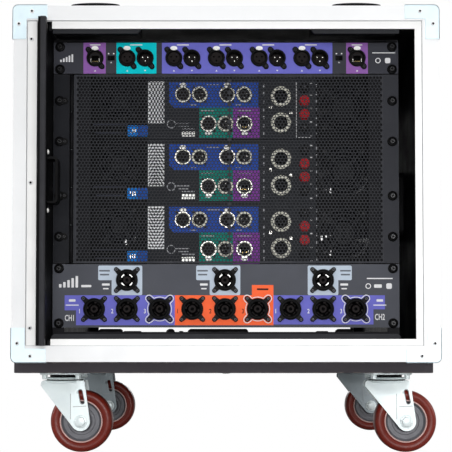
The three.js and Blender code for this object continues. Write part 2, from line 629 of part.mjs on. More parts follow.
// A dished core with a long hub, and a crowned tread moulded round it.
function casterWheel() {
  const bore = AXLE_R + GAP + 0.2;
  const half = [
    [bore, 17.8], [13, 17.8], [14.5, 9], [27, 9], [30.5, 15], [40, WHEEL_HALF_T], [WHEEL_R, 9],
  ];
  const back = half.map(([radius, y]) => [radius, -y]).reverse();
  return turnedY([...half, ...back, half[0]], CASTER_TRAIL, WHEEL_R, 28);
}

const CORNERS = [["front_left", -1, -1], ["front_right", 1, -1], ["rear_left", -1, 1], ["rear_right", 1, 1]];
for (const [corner, sx, sy] of CORNERS) {
  const caster = new THREE.Group();
  caster.position.set(sx * CASTER_X, sy * CASTER_Y, 0);
  shifted.add(caster);
  add(`${corner}_caster_plate`, casterPlate(), MATERIALS.zinc, caster);
  add(`${corner}_caster_fork`, casterFork(), MATERIALS.zinc, caster);
  add(`${corner}_caster_axle`, casterAxle(), MATERIALS.steelBolt, caster);
  add(`${corner}_caster_wheel`, casterWheel(), MATERIALS.tread, caster);
}

export default rack;
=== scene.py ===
"""The looks of a power amplifier rack: three amplifiers in a touring case on swivel casters.

Lengths are millimetres until a piece is made, and x is measured from the middle of the case.
The connector side faces -Y and the fascias face +Y.
"""

import json
import math
import random

import bmesh
import bpy
import numpy as np
from mathutils import Matrix, Vector, geometry

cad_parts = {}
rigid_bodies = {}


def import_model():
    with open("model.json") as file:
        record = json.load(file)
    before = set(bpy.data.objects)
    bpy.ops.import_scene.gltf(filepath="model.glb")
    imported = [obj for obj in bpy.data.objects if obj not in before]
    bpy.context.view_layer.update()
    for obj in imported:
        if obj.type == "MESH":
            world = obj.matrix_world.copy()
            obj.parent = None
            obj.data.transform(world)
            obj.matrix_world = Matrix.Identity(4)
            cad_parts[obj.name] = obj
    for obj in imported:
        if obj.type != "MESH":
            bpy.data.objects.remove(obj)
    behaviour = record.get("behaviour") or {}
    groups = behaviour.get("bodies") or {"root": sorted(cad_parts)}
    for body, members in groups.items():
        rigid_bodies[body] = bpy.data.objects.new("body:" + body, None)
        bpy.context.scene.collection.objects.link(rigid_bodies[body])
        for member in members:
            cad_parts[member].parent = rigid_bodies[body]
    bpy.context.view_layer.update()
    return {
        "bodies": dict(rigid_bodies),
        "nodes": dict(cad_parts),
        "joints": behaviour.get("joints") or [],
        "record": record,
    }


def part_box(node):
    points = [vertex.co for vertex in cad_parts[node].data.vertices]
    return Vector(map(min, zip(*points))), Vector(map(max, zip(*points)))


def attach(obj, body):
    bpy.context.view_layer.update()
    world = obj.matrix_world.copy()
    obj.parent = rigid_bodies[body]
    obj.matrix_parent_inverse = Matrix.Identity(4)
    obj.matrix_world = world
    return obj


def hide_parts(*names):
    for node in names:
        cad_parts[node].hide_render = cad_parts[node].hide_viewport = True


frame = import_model()
RECORD = frame["record"]
MM = 0.001

# ---------------------------------------------------------------- places from the frame


def node_box(node):
    """(x0, x1, y0, y1, z0, z1) of a CAD node."""
    low, high = (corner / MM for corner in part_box(node))
    return low.x - MIDDLE, high.x - MIDDLE, low.y, high.y, low.z, high.z


def opening_centres(stem):
    """(x, z) of the stated openings called stem_1, stem_2 and so on, from left to right."""
    boxes = [o["box_m"] for o in RECORD["physics"]["openings"] if o["name"].startswith(stem)]
    centres = [((low[0] + high[0]) / 2 / MM - MIDDLE, (low[2] + high[2]) / 2 / MM) for low, high in boxes]
    return sorted(centres)


def joint_point(name):
    """A point on that joint's axis."""
    x, y, z = next(j["pos_m"] for j in frame["joints"] if j["name"] == name)
    return x / MM - MIDDLE, y / MM, z / MM


MIDDLE = sum(corner.x
             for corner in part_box("front_edge_frame")) / 2 / MM  # the casters' trail moves the origin
_, HALF, FRONT, _, LOW, HIGH = node_box("front_edge_frame")
REAR = node_box("rear_edge_frame")[3]
INPUT = node_box("input_panel")
OUTPUT = node_box("output_panel")
GRILLE = node_box("grille_door")
LEAF = node_box("grille_hinge_leaf")
AMPS = [node_box(f"amp_{k}_chassis") for k in (1, 2, 3)]
PANEL_T = 3.0
SHEET_T = 2.0
SCREW_PROUD = 4.5
PANEL_Y = INPUT[2] + SCREW_PROUD  # the panels' front faces: their boxes start at the screw heads
PANEL_HALF = 241.3
SCREW_X = 232.5
SCREW_INSET = 6.35
UNIT_GAP = 0.4  # how much shorter a panel is than its rack units, at either end
POST_PROUD = 10.0
AMP_Y = AMPS[0][2] + POST_PROUD  # the amplifiers' connector faces: their boxes start at the binding posts

# ---------------------------------------------------------------- materials


def srgb(red, green, blue):
    """A colour given as 0-255 screen values, as linear light."""
    def linear(value):
        value /= 255
        return value / 12.92 if value <= 0.04045 else ((value + 0.055) / 1.055) ** 2.4
    return linear(red), linear(green), linear(blue)


class Graph:
    """A material's node tree, with short calls for the nodes used here."""

    def __init__(self, name):
        self.material = bpy.data.materials.new(name)
        self.material.use_nodes = True
        self.tree = self.material.node_tree
        self.shader = self.tree.nodes["Principled BSDF"]

    def node(self, kind, **inputs):
        made = self.tree.nodes.new(kind)
        for key, value in inputs.items():
            self.put(made.inputs[key.replace("_", " ")], value)
        return made

    def put(self, socket, value):
        if isinstance(value, bpy.types.NodeSocket):
            self.tree.links.new(value, socket)
        else:
            socket.default_value = value

    def place(self, stretch=(1, 1, 1)):
        coordinates = self.node("ShaderNodeTexCoord").outputs["Object"]
        mapping = self.node("ShaderNodeMapping", Vector=coordinates, Scale=stretch)
        return mapping.outputs["Vector"]

    def noise(self, size, detail=3.0, stretch=(1, 1, 1)):
        """Noise whose features are about size metres across."""
        made = self.node("ShaderNodeTexNoise", Vector=self.place(stretch), Scale=1 / size,
                         Detail=detail, Roughness=0.55)
        return made.outputs["Fac"]

    def ramp(self, value, low, high, to_low=0.0, to_high=1.0):
        made = self.node("ShaderNodeMapRange", Value=value, From_Min=low, From_Max=high,
                         To_Min=to_low, To_Max=to_high)
        return made.outputs["Result"]

    def mix(self, factor, first, second):
        made = self.tree.nodes.new("ShaderNodeMix")
        made.data_type = "RGBA"
        for socket, value in zip((made.inputs[0], made.inputs[6], made.inputs[7]), (factor, first, second)):
            self.put(socket, (*value, 1) if isinstance(value, tuple) else value)
        return made.outputs[2]

    def times(self, first, second):
        made = self.tree.nodes.new("ShaderNodeMath")
        made.operation = "MULTIPLY"
        self.put(made.inputs[0], first)
        self.put(made.inputs[1], second)
        return made.outputs[0]

    def edges(self, radius):
        """1 on edges that stand out, 0 on flat faces."""
        soft = self.node("ShaderNodeBevel", Radius=radius).outputs["Normal"]
        flat = self.node("ShaderNodeNewGeometry").outputs["Normal"]
        dot = self.tree.nodes.new("ShaderNodeVectorMath")
        dot.operation = "DOT_PRODUCT"
        self.put(dot.inputs[0], soft)
        self.put(dot.inputs[1], flat)
        return self.ramp(dot.outputs["Value"], 0.98, 0.8)


def shade(colour, factor):
    return tuple(min(1.0, channel * factor) for channel in colour)


def surface(name, colour, roughness, metallic=0.0, drift=0.1, drift_size=0.06, grain=0.0,
            grain_size=0.0009, stretch=(1, 1, 1), uneven=0.06, worn=None, worn_radius=0.0012, coat=0.0,
            sheen=0.4):
    """A finish whose colour and gloss drift over drift_size metres, with a fine grain and worn edges."""
    graph = Graph(name)
    graph.shader.inputs["Specular IOR Level"].default_value = sheen
    slow = graph.noise(drift_size, detail=4.0, stretch=stretch)
    base = graph.mix(graph.ramp(slow, 0.3, 0.7), shade(colour, 1 - drift), shade(colour, 1 + drift))
    if worn:
        patchy = graph.ramp(graph.noise(0.012, detail=5.0), 0.42, 0.62)
        base = graph.mix(graph.times(graph.edges(worn_radius), patchy), base, worn)
    graph.put(graph.shader.inputs["Base Color"], base)
    graph.put(graph.shader.inputs["Roughness"],
              graph.ramp(graph.noise(drift_size / 3, detail=3.0, stretch=stretch), 0.3, 0.7,
                         max(0.02, roughness - uneven), min(1.0, roughness + uneven)))
    graph.shader.inputs["Metallic"].default_value = metallic
    graph.shader.inputs["Coat Weight"].default_value = coat
    graph.shader.inputs["Coat Roughness"].default_value = 0.2
    if grain:
        fine = graph.noise(grain_size, detail=2.0, stretch=stretch)
        bump = graph.node("ShaderNodeBump", Height=fine, Strength=grain, Distance=0.0004)
        graph.put(graph.shader.inputs["Normal"], bump.outputs["Normal"])
    return graph.material


def dull(name, colour, roughness, **more):
    """A dark or printed finish that reflects little."""
    return surface(name, colour, roughness, sheen=0.05, **more)


FINISH = {
    "laminate": surface("black_laminate", srgb(23, 23, 25), 0.46, grain=0.8, grain_size=0.0024, drift=0.14,
                        drift_size=0.16, uneven=0.12, sheen=0.16),
    # The doors' laminate is painted darker than the walls' laminate: black laminate with painted shade for
    # the inside of the opening
    "door": dull("door_laminate", srgb(12, 12, 13), 0.5, grain=0.4, grain_size=0.0011),
    "trim": dull("door_trim_black", srgb(50, 50, 53), 0.42, drift=0.12, drift_size=0.02, grain=0.4,
                 worn=srgb(104, 104, 106)),
    "aluminium": surface("satin_aluminium", srgb(226, 227, 228), 0.45, 0.15, drift=0.03, drift_size=0.12,
                         grain=0.05, worn=srgb(236, 236, 236)),
    "cap": surface("zinc_cap", srgb(222, 240, 247), 0.36, 0.2, drift=0.04, drift_size=0.02, grain=0.06),
    "zinc": surface("bright_zinc", srgb(240, 251, 253), 0.34, 0.15, drift=0.05, drift_size=0.03, uneven=0.03,
                    worn=srgb(242, 248, 249)),
    # dull_zinc is the caster zinc painted darker, as painted shade on the rear casters under the case
    "dull_zinc": surface("dull_zinc", srgb(150, 160, 165), 0.42, 0.35, drift=0.06, drift_size=0.03,
                         uneven=0.03, worn=srgb(190, 198, 200)),
    "steel": surface("plated_steel", srgb(176, 182, 186), 0.3, 0.6, drift=0.06, drift_size=0.006),
    "board": dull("caster_board_paint", srgb(62, 59, 63), 0.62, drift=0.16, drift_size=0.05, grain=0.5,
                  stretch=(0.35, 1, 1), worn=srgb(128, 120, 114), worn_radius=0.003),
    "rubber": dull("black_rubber", srgb(22, 22, 23), 0.75, grain=0.4, drift=0.2),
    "black_steel": dull("black_powder_coat", srgb(26, 26, 29), 0.45, grain=0.5, worn=srgb(70, 70, 72)),
    "black_screw": surface("black_oxide_screw", srgb(30, 30, 32), 0.32, 0.5, drift=0.2, drift_size=0.004),
    "cup": dull("cup_washer_nylon", srgb(14, 14, 15), 0.4, drift=0.15, drift_size=0.01),
    "panel": dull("panel_paint", srgb(60, 61, 68), 0.5, grain=0.35, grain_size=0.0007, drift=0.06,
                  worn=srgb(100, 100, 106)),
    "panel_low": dull("output_panel_paint", srgb(80, 82, 89), 0.5, grain=0.35, grain_size=0.0007, drift=0.07,
                      worn=srgb(116, 116, 122)),
    "lip": surface("lip_aluminium", srgb(234, 234, 233), 0.45, 0.15, drift=0.04, drift_size=0.1, grain=0.05),
    # seam: grey painted shade for lines in grooves, along creases and round slot edges
    "seam": surface("seam_shadow", srgb(160, 162, 166), 0.6, drift=0.06, drift_size=0.03),
    "pull": dull("pull_black", srgb(10, 10, 11), 0.4, drift=0.15, grain=0.3),
    "bright": surface("bright_contact", srgb(244, 244, 240), 0.3, 0.2, drift=0.03, drift_size=0.004),
    "print_grey": dull("grey_print", srgb(104, 108, 116), 0.5, drift=0.05, drift_size=0.01),
    "strip": dull("door_strip_paint", srgb(52, 53, 58), 0.45, grain=0.3, drift=0.06, worn=srgb(90, 90, 94)),
    "stop": dull("stop_strip_paint", srgb(46, 47, 50), 0.5, drift=0.12, drift_size=0.05, grain=0.3),
    "faint": dull("faint_print", srgb(58, 60, 72), 0.5, drift=0.1, drift_size=0.02),
    "ear_screw": surface("ear_screw", srgb(62, 62, 66), 0.4, 0.3, drift=0.1, drift_size=0.004),
    # The hinge leaf is painted darker than the grille rim's strip: painted shade from the door post
    "leaf": dull("hinge_leaf_shaded_paint", srgb(30, 31, 35), 0.45, grain=0.3, drift=0.06, worn=srgb(70, 70, 74)),
    "hinge": dull("hinge_steel", srgb(16, 16, 18), 0.4, drift=0.12, grain=0.2),
    "grille": dull("grille_paint", srgb(54, 55, 59), 0.45, grain=0.3, drift=0.06),
    "chassis": dull("chassis_steel", srgb(43, 45, 49), 0.45, drift=0.08, grain=0.25),
    "chassis_dark": dull("chassis_dark_steel", srgb(10, 10, 11), 0.45, drift=0.08, grain=0.25),
    "plastic": dull("black_nylon", srgb(12, 12, 13), 0.38, drift=0.2, drift_size=0.006, grain=0.15),
    "socket": dull("socket_face", srgb(30, 26, 26), 0.5, drift=0.2, drift_size=0.004),
    # hole: near-black painted shade for holes, recesses and openings
    "hole": dull("painted_hole_shade", srgb(4, 4, 5), 0.7, drift=0.1),
    "nickel": surface("nickel", srgb(206, 204, 198), 0.25, 0.8, drift=0.06, drift_size=0.004),
    "gold": surface("gold_contact", srgb(214, 186, 120), 0.25, 0.9, drift=0.08, drift_size=0.003),
    "tab": surface("release_tab", srgb(240, 240, 238), 0.35, 0.1, drift=0.03, drift_size=0.003),
    "print_white": dull("white_print", srgb(228, 228, 230), 0.5, drift=0.04, drift_size=0.01),
    "print_dark": dull("dark_print", srgb(60, 34, 30), 0.5, drift=0.06, drift_size=0.01),
    "red": dull("red_post", srgb(200, 22, 34), 0.3, drift=0.1, drift_size=0.006),
    "cream": surface("cream_ring", srgb(244, 242, 226), 0.4, drift=0.04, drift_size=0.006),
    "grid": surface("bright_grid", srgb(240, 241, 243), 0.4, 0.1, drift=0.05, drift_size=0.01),
    "tread": surface("polyurethane_tread", srgb(114, 36, 25), 0.34, drift=0.12, drift_size=0.014, grain=0.2,
                     worn=srgb(104, 46, 36), sheen=0.3),
    "core": surface("wheel_core", srgb(106, 106, 111), 0.42, 0.15, drift=0.08, drift_size=0.01, grain=0.2),
    "ring": surface("tread_bead", srgb(206, 172, 166), 0.45, drift=0.08, drift_size=0.008),
    "fan": dull("fan_plastic", srgb(26, 26, 28), 0.45, drift=0.15, drift_size=0.01, grain=0.15),
    "board_green": surface("circuit_board", srgb(22, 82, 46), 0.4, drift=0.15, drift_size=0.01),
    "copper": surface("copper_winding", srgb(190, 106, 60), 0.35, 0.8, drift=0.15, drift_size=0.004),
    "sink": surface("heat_sink", srgb(176, 178, 182), 0.4, 0.85, drift=0.08, grain=0.2, stretch=(1, 0.1, 1)),
    "sleeve": surface("capacitor_sleeve", srgb(30, 40, 78), 0.35, drift=0.1, drift_size=0.01),
    "fascia": dull("fascia_paint", srgb(42, 43, 47), 0.42, drift=0.06, grain=0.35),
    "bezel": dull("bezel_plastic", srgb(18, 19, 21), 0.3, drift=0.08, grain=0.2),
    "dial": surface("dial_cap", srgb(120, 122, 126), 0.3, 0.85, drift=0.08, drift_size=0.004, grain=0.1),
    "grip_metal": surface("grip_paint", srgb(28, 29, 31), 0.35, 0.3, drift=0.08, grain=0.2,
                          worn=srgb(120, 120, 122)),
    "guard": dull("guard_wire", srgb(34, 35, 38), 0.35, drift=0.1, drift_size=0.01),
    "print_soft": dull("faded_print", srgb(190, 191, 196), 0.5, drift=0.1, drift_size=0.01),
    "screen": surface("display_glass", srgb(20, 34, 44), 0.08, drift=0.1, drift_size=0.01, coat=0.6),
    "lit": surface("display_segments", srgb(120, 186, 214), 0.3, drift=0.05, drift_size=0.005),
    "button": surface("button_plastic", srgb(150, 172, 190), 0.25, drift=0.06, drift_size=0.004, coat=0.3),
    "grip": dull("handle_grip", srgb(24, 24, 25), 0.7, drift=0.15, grain=0.5),
}
PRINTS = (  # finish, its material's name, screen colour and drift
    ("purple", "purple_print", (142, 95, 168), 0.05), ("cyan", "cyan_print", (0, 196, 206), 0.05),
    ("violet", "violet_print", (108, 108, 196), 0.05), ("orange", "orange_print", (250, 106, 62), 0.05),
    ("pale", "pale_grey_print", (186, 198, 212), 0.04), ("blue", "blue_print", (42, 90, 196), 0.06),
    ("green", "green_print", (12, 152, 136), 0.06), ("plum", "plum_print", (150, 70, 180), 0.06))
for key, title, colour, drift in PRINTS:
    FINISH[key] = dull(title, srgb(*colour), 0.45, drift=drift, drift_size=0.02, grain=0.2)
for key, title, colour in (("inlet", "inlet_blue", (12, 146, 244)),
                           ("inlet_dark", "inlet_navy", (30, 92, 190))):
    FINISH[key] = dull(title, srgb(*colour), 0.35, drift=0.05, drift_size=0.01)

# ---------------------------------------------------------------- shapes


class Shape:
    """Faces of one or more finishes, in millimetres, that become one piece."""

    def __init__(self):
        self.points = []
        self.faces = []
        self.face_finish = []

    def add(self, points, faces, finish, matrix=None):
        first = len(self.points)
        moved = [matrix @ Vector(p) for p in points] if matrix else points
        self.points.extend(tuple(p) for p in moved)
        finishes = [finish] * len(faces) if isinstance(finish, str) else finish
        self.faces.extend(tuple(first + index for index in face) for face in faces)
        self.face_finish.extend(finishes)
        return self

    def brick(self, x0, x1, y0, y1, z0, z1, finish, matrix=None):
        points = [(x, y, z) for x in (x0, x1) for y in (y0, y1) for z in (z0, z1)]
        faces = [(0, 1, 3, 2), (4, 6, 7, 5), (0, 4, 5, 1), (2, 3, 7, 6), (0, 2, 6, 4), (1, 5, 7, 3)]
        return self.add(points, faces, finish, matrix)

    def turned(self, profile, sides, finish, matrix=None):
        """Turns [along, radius, finish of the next stretch] points about the Y axis.

        A profile starts and ends at radius 0, or comes back to its first point.
        """
        rows, points, faces, finishes = [], [], [], []
        for number, step in enumerate(profile):
            along, radius = step[0], step[1]
            if number == len(profile) - 1 and radius > 0 and tuple(step[:2]) == tuple(profile[0][:2]):
                rows.append(rows[0])
                continue
            if radius < 1e-6:
                rows.append([len(points)])
                points.append((0, along, 0))
                continue
            rows.append(list(range(len(points), len(points) + sides)))
            for k in range(sides):
                angle = 2 * math.pi * k / sides
                points.append((radius * math.cos(angle), along, radius * math.sin(angle)))
        for step, near, far in zip(profile, rows, rows[1:]):
            kind = step[2] if len(step) > 2 else finish
            for k in range(sides):
                after = (k + 1) % sides
                if len(near) == 1 and len(far) == 1:
                    continue
                if len(near) == 1:
                    face = (near[0], far[k], far[after])
                elif len(far) == 1:
                    face = (near[k], far[0], near[after])
                else:
                    face = (near[k], far[k], far[after], near[after])
                faces.append(face)
                finishes.append(kind)
        return self.add(points, faces, finishes, matrix)

    def prism(self, outline, holes, y0, y1, finish, zones=(), matrix=None):
        """A flat plate in x and z from y0 to y1, with holes.

        Each part of the face at y0 takes the finish of the zone it is in.
        """
        loops = [outline, *holes, *(polygon for polygon, _ in zones)]
        flat, edges = [], []
        for loop in loops:
            first = len(flat)
            flat.extend(Vector(p) for p in loop)
            edges.extend((first + k, first + (k + 1) % len(loop)) for k in range(len(loop)))
        made = geometry.delaunay_2d_cdt(flat, edges, [], 0, 1e-4)
        verts, triangles = made[0], made[2]
        kept, finishes = [], []
        for triangle in triangles:
            centre = sum((verts[k] for k in triangle), Vector((0, 0))) / 3
            if not inside(centre, outline) or any(inside(centre, hole) for hole in holes):
                continue
            kept.append(tuple(triangle))
            finishes.append(next((kind for polygon, kind in zones if inside(centre, polygon)), finish))
        return self.sheet([tuple(v) for v in verts], kept, y0, y1, finish, finishes, matrix)

    def sheet(self, flat, triangles, y0, y1, finish, front=None, matrix=None):
        """Gives flat triangles in x and z a thickness. The face at y0 may have a finish for each triangle."""
        count = len(flat)
        points = [(x, y0, z) for x, z in flat] + [(x, y1, z) for x, z in flat]
        faces = list(triangles) + [tuple(count + k for k in reversed(face)) for face in triangles]
        finishes = list(front or [finish] * len(triangles)) + [finish] * len(triangles)
        for a, b in boundary(triangles):
            faces.append((b, a, count + a, count + b))
            finishes.append(finish)
        return self.add(points, faces, finishes, matrix)

    def tube(self, path, section, finish, closed=False, matrix=None):
        """Sweeps a section of (sideways, up) offsets along a path that bends gently."""
        path = [Vector(p) for p in path]
        count = len(path)
        rings = []
        up = None
        for k, point in enumerate(path):
            before = path[(k - 1) % count] if closed or k else point
            after = path[(k + 1) % count] if closed or k < count - 1 else point
            along = (after - before).normalized()
            if up is None:
                up = along.orthogonal().normalized()
            up = (up - along * up.dot(along)).normalized()
            side = along.cross(up)
            rings.append([point + side * s + up * u for s, u in section])
        sides = len(section)
        points = [p for ring in rings for p in ring]
        faces = []
        for k in range(count if closed else count - 1):
            here, there = k * sides, ((k + 1) % count) * sides
            faces.extend((here + j, there + j, there + (j + 1) % sides, here + (j + 1) % sides)
                         for j in range(sides))
        if not closed:
            faces.append(tuple(range(sides)))
            faces.append(tuple(reversed(range((count - 1) * sides, count * sides))))
        return self.add(points, faces, finish, matrix)

    def piece(self, name, body, slot, smooth=35, bevel=0.0, replaces=(), at=None):
        """Makes the piece, outward-facing and smooth-shaded up to an angle, riding on a body."""
        at = at or HOME
        names = sorted(set(self.face_finish))
        mesh = bpy.data.meshes.new(name)
        mesh.from_pydata([tuple((at @ Vector(p)) * MM) for p in self.points], [], self.faces)
        for finish in names:
            mesh.materials.append(FINISH[finish])
        mesh.polygons.foreach_set("material_index", [names.index(f) for f in self.face_finish])
        mesh.validate()
        made = put_in(name, mesh)
        face_out(mesh)
        mesh.shade_smooth()
        mesh.set_sharp_from_angle(angle=math.radians(smooth))
        if bevel:
            soften(made, bevel)
        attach(made, body)
        if replaces:
            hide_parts(*replaces)
        return made


def put_in(name, data):
    """Makes an object and puts it in the scene."""
    made = bpy.data.objects.new(name, data)
    bpy.context.scene.collection.objects.link(made)
    return made


def face_out(mesh):
    """Turns every closed shell of a mesh to face outwards."""
    work = bmesh.new()
    work.from_mesh(mesh)
    bmesh.ops.recalc_face_normals(work, faces=work.faces)
    work.to_mesh(mesh)
    work.free()


def soften(item, width):
    """Rounds an object's sharp edges by width millimetres."""
    modifier = item.modifiers.new("soft_edges", "BEVEL")
    modifier.width = width * MM
    modifier.segments = 2
    modifier.limit_method = "ANGLE"
    modifier.angle_limit = math.radians(40)
    modifier.harden_normals = False


def inside(point, polygon):
    hit = False
    x, z = point
    ax, az = polygon[-1]
    for bx, bz in polygon:
        if (az > z) != (bz > z) and x < (bx - ax) * (z - az) / (bz - az) + ax:
            hit = not hit
        ax, az = bx, bz
    return hit


def boundary(triangles):
    """The directed edges that only one triangle has."""
    edges = {(t[k], t[(k + 1) % 3]) for t in triangles for k in range(3)}
    return sorted(edge for edge in edges if (edge[1], edge[0]) not in edges)


def around(x, z, radius, angle):
    """The point at that angle, in radians, on a circle."""
    return x + radius * math.cos(angle), z + radius * math.sin(angle)


def circle(x, z, radius, sides=24):
    return [around(x, z, radius, 2 * math.pi * k / sides) for k in range(sides)]


def quarter(x, z, radius):
    """A quarter of a circle, from its top to its right."""
    angles = [math.radians(15 * k) for k in range(7)]
    return [(x + radius * math.sin(a), z + radius * math.cos(a)) for a in angles]


def rod(start, end, radius):
    """A plain bar's profile for turned()."""
    return [(start, 0), (start, radius), (end, radius), (end, 0)]


def washer(start, end, inner, outer, flare=0.0):
    """A flat ring's profile for turned(), wider by flare at its end."""
    return [(start, inner), (start, outer), (end, outer + flare), (end, inner), (start, inner)]


def rectangle(x0, x1, z0, z1, radius=0.0, steps=4):
    """A rectangle with round corners."""
    if radius <= 0:
        return [(x0, z0), (x1, z0), (x1, z1), (x0, z1)]
    centres = [(x1 - radius, z0 + radius, -90), (x1 - radius, z1 - radius, 0),
               (x0 + radius, z1 - radius, 90), (x0 + radius, z0 + radius, 180)]
    points = []
    for x, z, start in centres:
        for k in range(steps + 1):
            points.append(around(x, z, radius, math.radians(start + 90 * k / steps)))
    return points


def move(x=0.0, y=0.0, z=0.0):
    return Matrix.Translation((x, y, z))


def spin(angle, axis):
    return Matrix.Rotation(math.radians(angle), 4, axis)


HOME = move(MIDDLE)  # from the case's middle to the row's origin
TURNED = HOME @ spin(180, "Z")  # the case's other end is the same, turned half a turn


def paint(node, finish, bevel=0.0):
    """Gives a CAD node a finish, and softens its edges."""
    item = frame["nodes"][node]
    item.data.materials.clear()
    item.data.materials.append(FINISH[finish])
    if bevel:
        soften(item, bevel)


def oval(x, z, half_x, half_z, sides=20):
    return [(x + half_x * px, z + half_z * pz) for px, pz in circle(0, 0, 1, sides)]


def capsule(x0, z0, x1, z1, radius, steps=6):
    """A bar with round ends from one point to another."""
    lean = math.atan2(z1 - z0, x1 - x0)
    points = []
    for x, z, start in ((x1, z1, lean - math.pi / 2), (x0, z0, lean + math.pi / 2)):
        for k in range(steps + 1):
            points.append(around(x, z, radius, start + math.pi * k / steps))
    return points


def eared(x, z, radius, reach, half_width, ears, steps=96):
    """A disc with round-ended ears that reach out from its middle at the angles given, in degrees."""
    points = []
    for k in range(steps):
        angle = 2 * math.pi * k / steps
        extent = radius
        for ear in ears:
            off = (angle - math.radians(ear) + math.pi) % (2 * math.pi) - math.pi
            if abs(off) >= math.pi / 2:
                continue
            across = abs(math.sin(off))
            straight = half_width / max(across, 1e-9)
            if straight * math.cos(off) > reach:
                if reach * across > half_width:
                    continue
                straight = reach * math.cos(off) + math.sqrt(half_width ** 2 - (reach * across) ** 2)
            extent = max(extent, straight)
        points.append(around(x, z, extent, angle))
    return points


def letters(shape, text, x, z, height, finish, y, squeeze=0.8):
    """Raised figures, centred at x and z, on a face that looks towards -Y."""
    font = bpy.data.curves.new("figures", "FONT")
    font.body = text
    font.align_x, font.align_y = "CENTER", "CENTER"
    font.size, font.extrude = height * 1.4, 0.12
    font.offset = height * 0.02
    font.resolution_u = 3
    holder = bpy.data.objects.new("figures", font)
    mesh = bpy.data.meshes.new_from_object(holder)
    work = bmesh.new()
    work.from_mesh(mesh)
    bmesh.ops.remove_doubles(work, verts=work.verts, dist=1e-4)
    points = [(x + v.co.x * squeeze, y - v.co.z, z + v.co.y) for v in work.verts]
    work.verts.index_update()
    faces = [tuple(v.index for v in f.verts) for f in work.faces]
    shape.add(points, faces, finish)
    work.free()
    bpy.data.objects.remove(holder)
    bpy.data.curves.remove(font)
    bpy.data.meshes.remove(mesh)


# ---------------------------------------------------------------- case

BAND_IN = (-268.7, 265.0, 152.6, 592.0)  # the line between the outer band and the lip: x, x, z, z
SKIN = 1.2
CORNER_R = 8.0
FRAME_DEPTH = 30.0
LIP_BACK = 4.0  # how far the lip sits behind the band
LIP_X, LIP_LOW, LIP_HIGH = 255.3, 161.8, 581.5
NOTCH_X, NOTCH_LOW, NOTCH_HIGH = 235.5, 152.8, 591.4
RIVET_R = 3.1


def rivet(shape, matrix):
    """A blind rivet's domed head with a shallow dent in its middle painted near-black as shade, standing on y
    = 0 towards -Y.
    """
    profile = [(0.3, 0), (0.3, RIVET_R), (-0.25, RIVET_R), (-0.8, RIVET_R * 0.82),
               (-1.15, RIVET_R * 0.5, "hole"), (-0.9, RIVET_R * 0.34, "hole"), (-0.5, 0)]
    shape.turned(profile, 16, "aluminium", matrix)


def edge_frame(name, at):
    shape = Shape()
    outline = rectangle(-HALF, HALF, LOW, HIGH, CORNER_R, steps=6)
    skin_in = rectangle(-HALF + SKIN, HALF - SKIN, LOW + SKIN, HIGH - SKIN, CORNER_R - SKIN, steps=6)
    shape.prism(outline, [skin_in], FRONT + 1, FRONT + FRAME_DEPTH, "aluminium")
    x0, x1, z0, z1 = BAND_IN
    shape.prism(outline, [rectangle(*BAND_IN)], FRONT, FRONT + 6, "aluminium")
    lip = rectangle(x0 - 1, x1 + 1, z0 - 1, z1 + 1)
    # The grey ring in the step between the band and the lip is painted shade
    shape.prism(lip, [rectangle(x0 + 0.6, x1 - 0.6, z0 + 0.5, z1 - 0.4)],
                FRONT + LIP_BACK - 0.5, FRONT + LIP_BACK + 1, "seam")
    opening = [(-LIP_X, LIP_LOW), (-LIP_X, NOTCH_LOW), (-NOTCH_X, NOTCH_LOW), (-NOTCH_X, LIP_LOW),
               (LIP_X, LIP_LOW), (LIP_X, LIP_HIGH), (-NOTCH_X, LIP_HIGH), (-NOTCH_X, NOTCH_HIGH),
               (-LIP_X, NOTCH_HIGH), (-LIP_X, LIP_HIGH)]
    shape.prism(lip, [opening], FRONT + LIP_BACK, FRONT + LIP_BACK + 2, "lip")
    return shape.piece(f"{name}_frame_extrusion", "case", "edge_aluminium", bevel=0.5, at=at,
                       replaces=[f"{name}_edge_frame"])


CAP_ARM, CAP_WIDTH, CAP_T = 47.0, 19.2, 1.3
CAP_RIVETS = ((26.6, 9.3), (9.0, 26.4))
LIP_RIVETS = (567.3, 372.3, 176.4)


def corner_caps(name, at):
    """Pressed caps over the four corners of one open end, with their rivets."""
    shape = Shape()
    middle_z = (LOW + HIGH) / 2
    half_z = (HIGH - LOW) / 2 + CAP_T
    half_x = HALF + CAP_T
    for side_x in (-1, 1):
        for side_z in (-1, 1):
            arc = quarter(half_x - CORNER_R, half_z - CORNER_R, CORNER_R)
            outer = [(half_x - CAP_ARM, half_z), *arc, (half_x, half_z - CAP_ARM)]
            inner_arc = [around(half_x - CORNER_R, half_z - CORNER_R, CORNER_R - CAP_T, math.radians(15 * k))
                         for k in range(7)]
            under = [(half_x - CAP_T, half_z - CAP_ARM), *inner_arc, (half_x - CAP_ARM, half_z - CAP_T)]
            face = [*outer, (half_x - CAP_WIDTH, half_z - CAP_ARM), (half_x - CAP_WIDTH, half_z - CAP_WIDTH),
                    (half_x - CAP_ARM, half_z - CAP_WIDTH)]
            to_corner = move(0, 0, middle_z) @ Matrix.Diagonal((side_x, 1, side_z, 1))
            shape.prism(face, [], FRONT - CAP_T, FRONT + 0.4, "cap", matrix=to_corner)
            shape.prism([*outer, *under], [], FRONT - CAP_T, FRONT + CAP_ARM, "cap", matrix=to_corner)
            for dx, dz in CAP_RIVETS:
                x, z = side_x * (half_x - dx), middle_z + side_z * (half_z - dz)
                rivet(shape, move(x, FRONT - CAP_T, z))
            for along in (FRONT + 14, FRONT + 36):
                rivet(shape, move(side_x * half_x, along,
                                  middle_z + side_z * (half_z - 26)) @ spin(90 * side_x, "Z"))
                if side_z > 0:
                    rivet(shape, move(side_x * (half_x - 26), along, middle_z + half_z) @ spin(-90, "X"))
    for z in LIP_RIVETS:
        rivet(shape, move(BAND_IN[0] + 5.6, FRONT + LIP_BACK, z))
    return shape.piece(f"{name}_corner_caps", "case", "edge_aluminium", bevel=0.35, at=at)


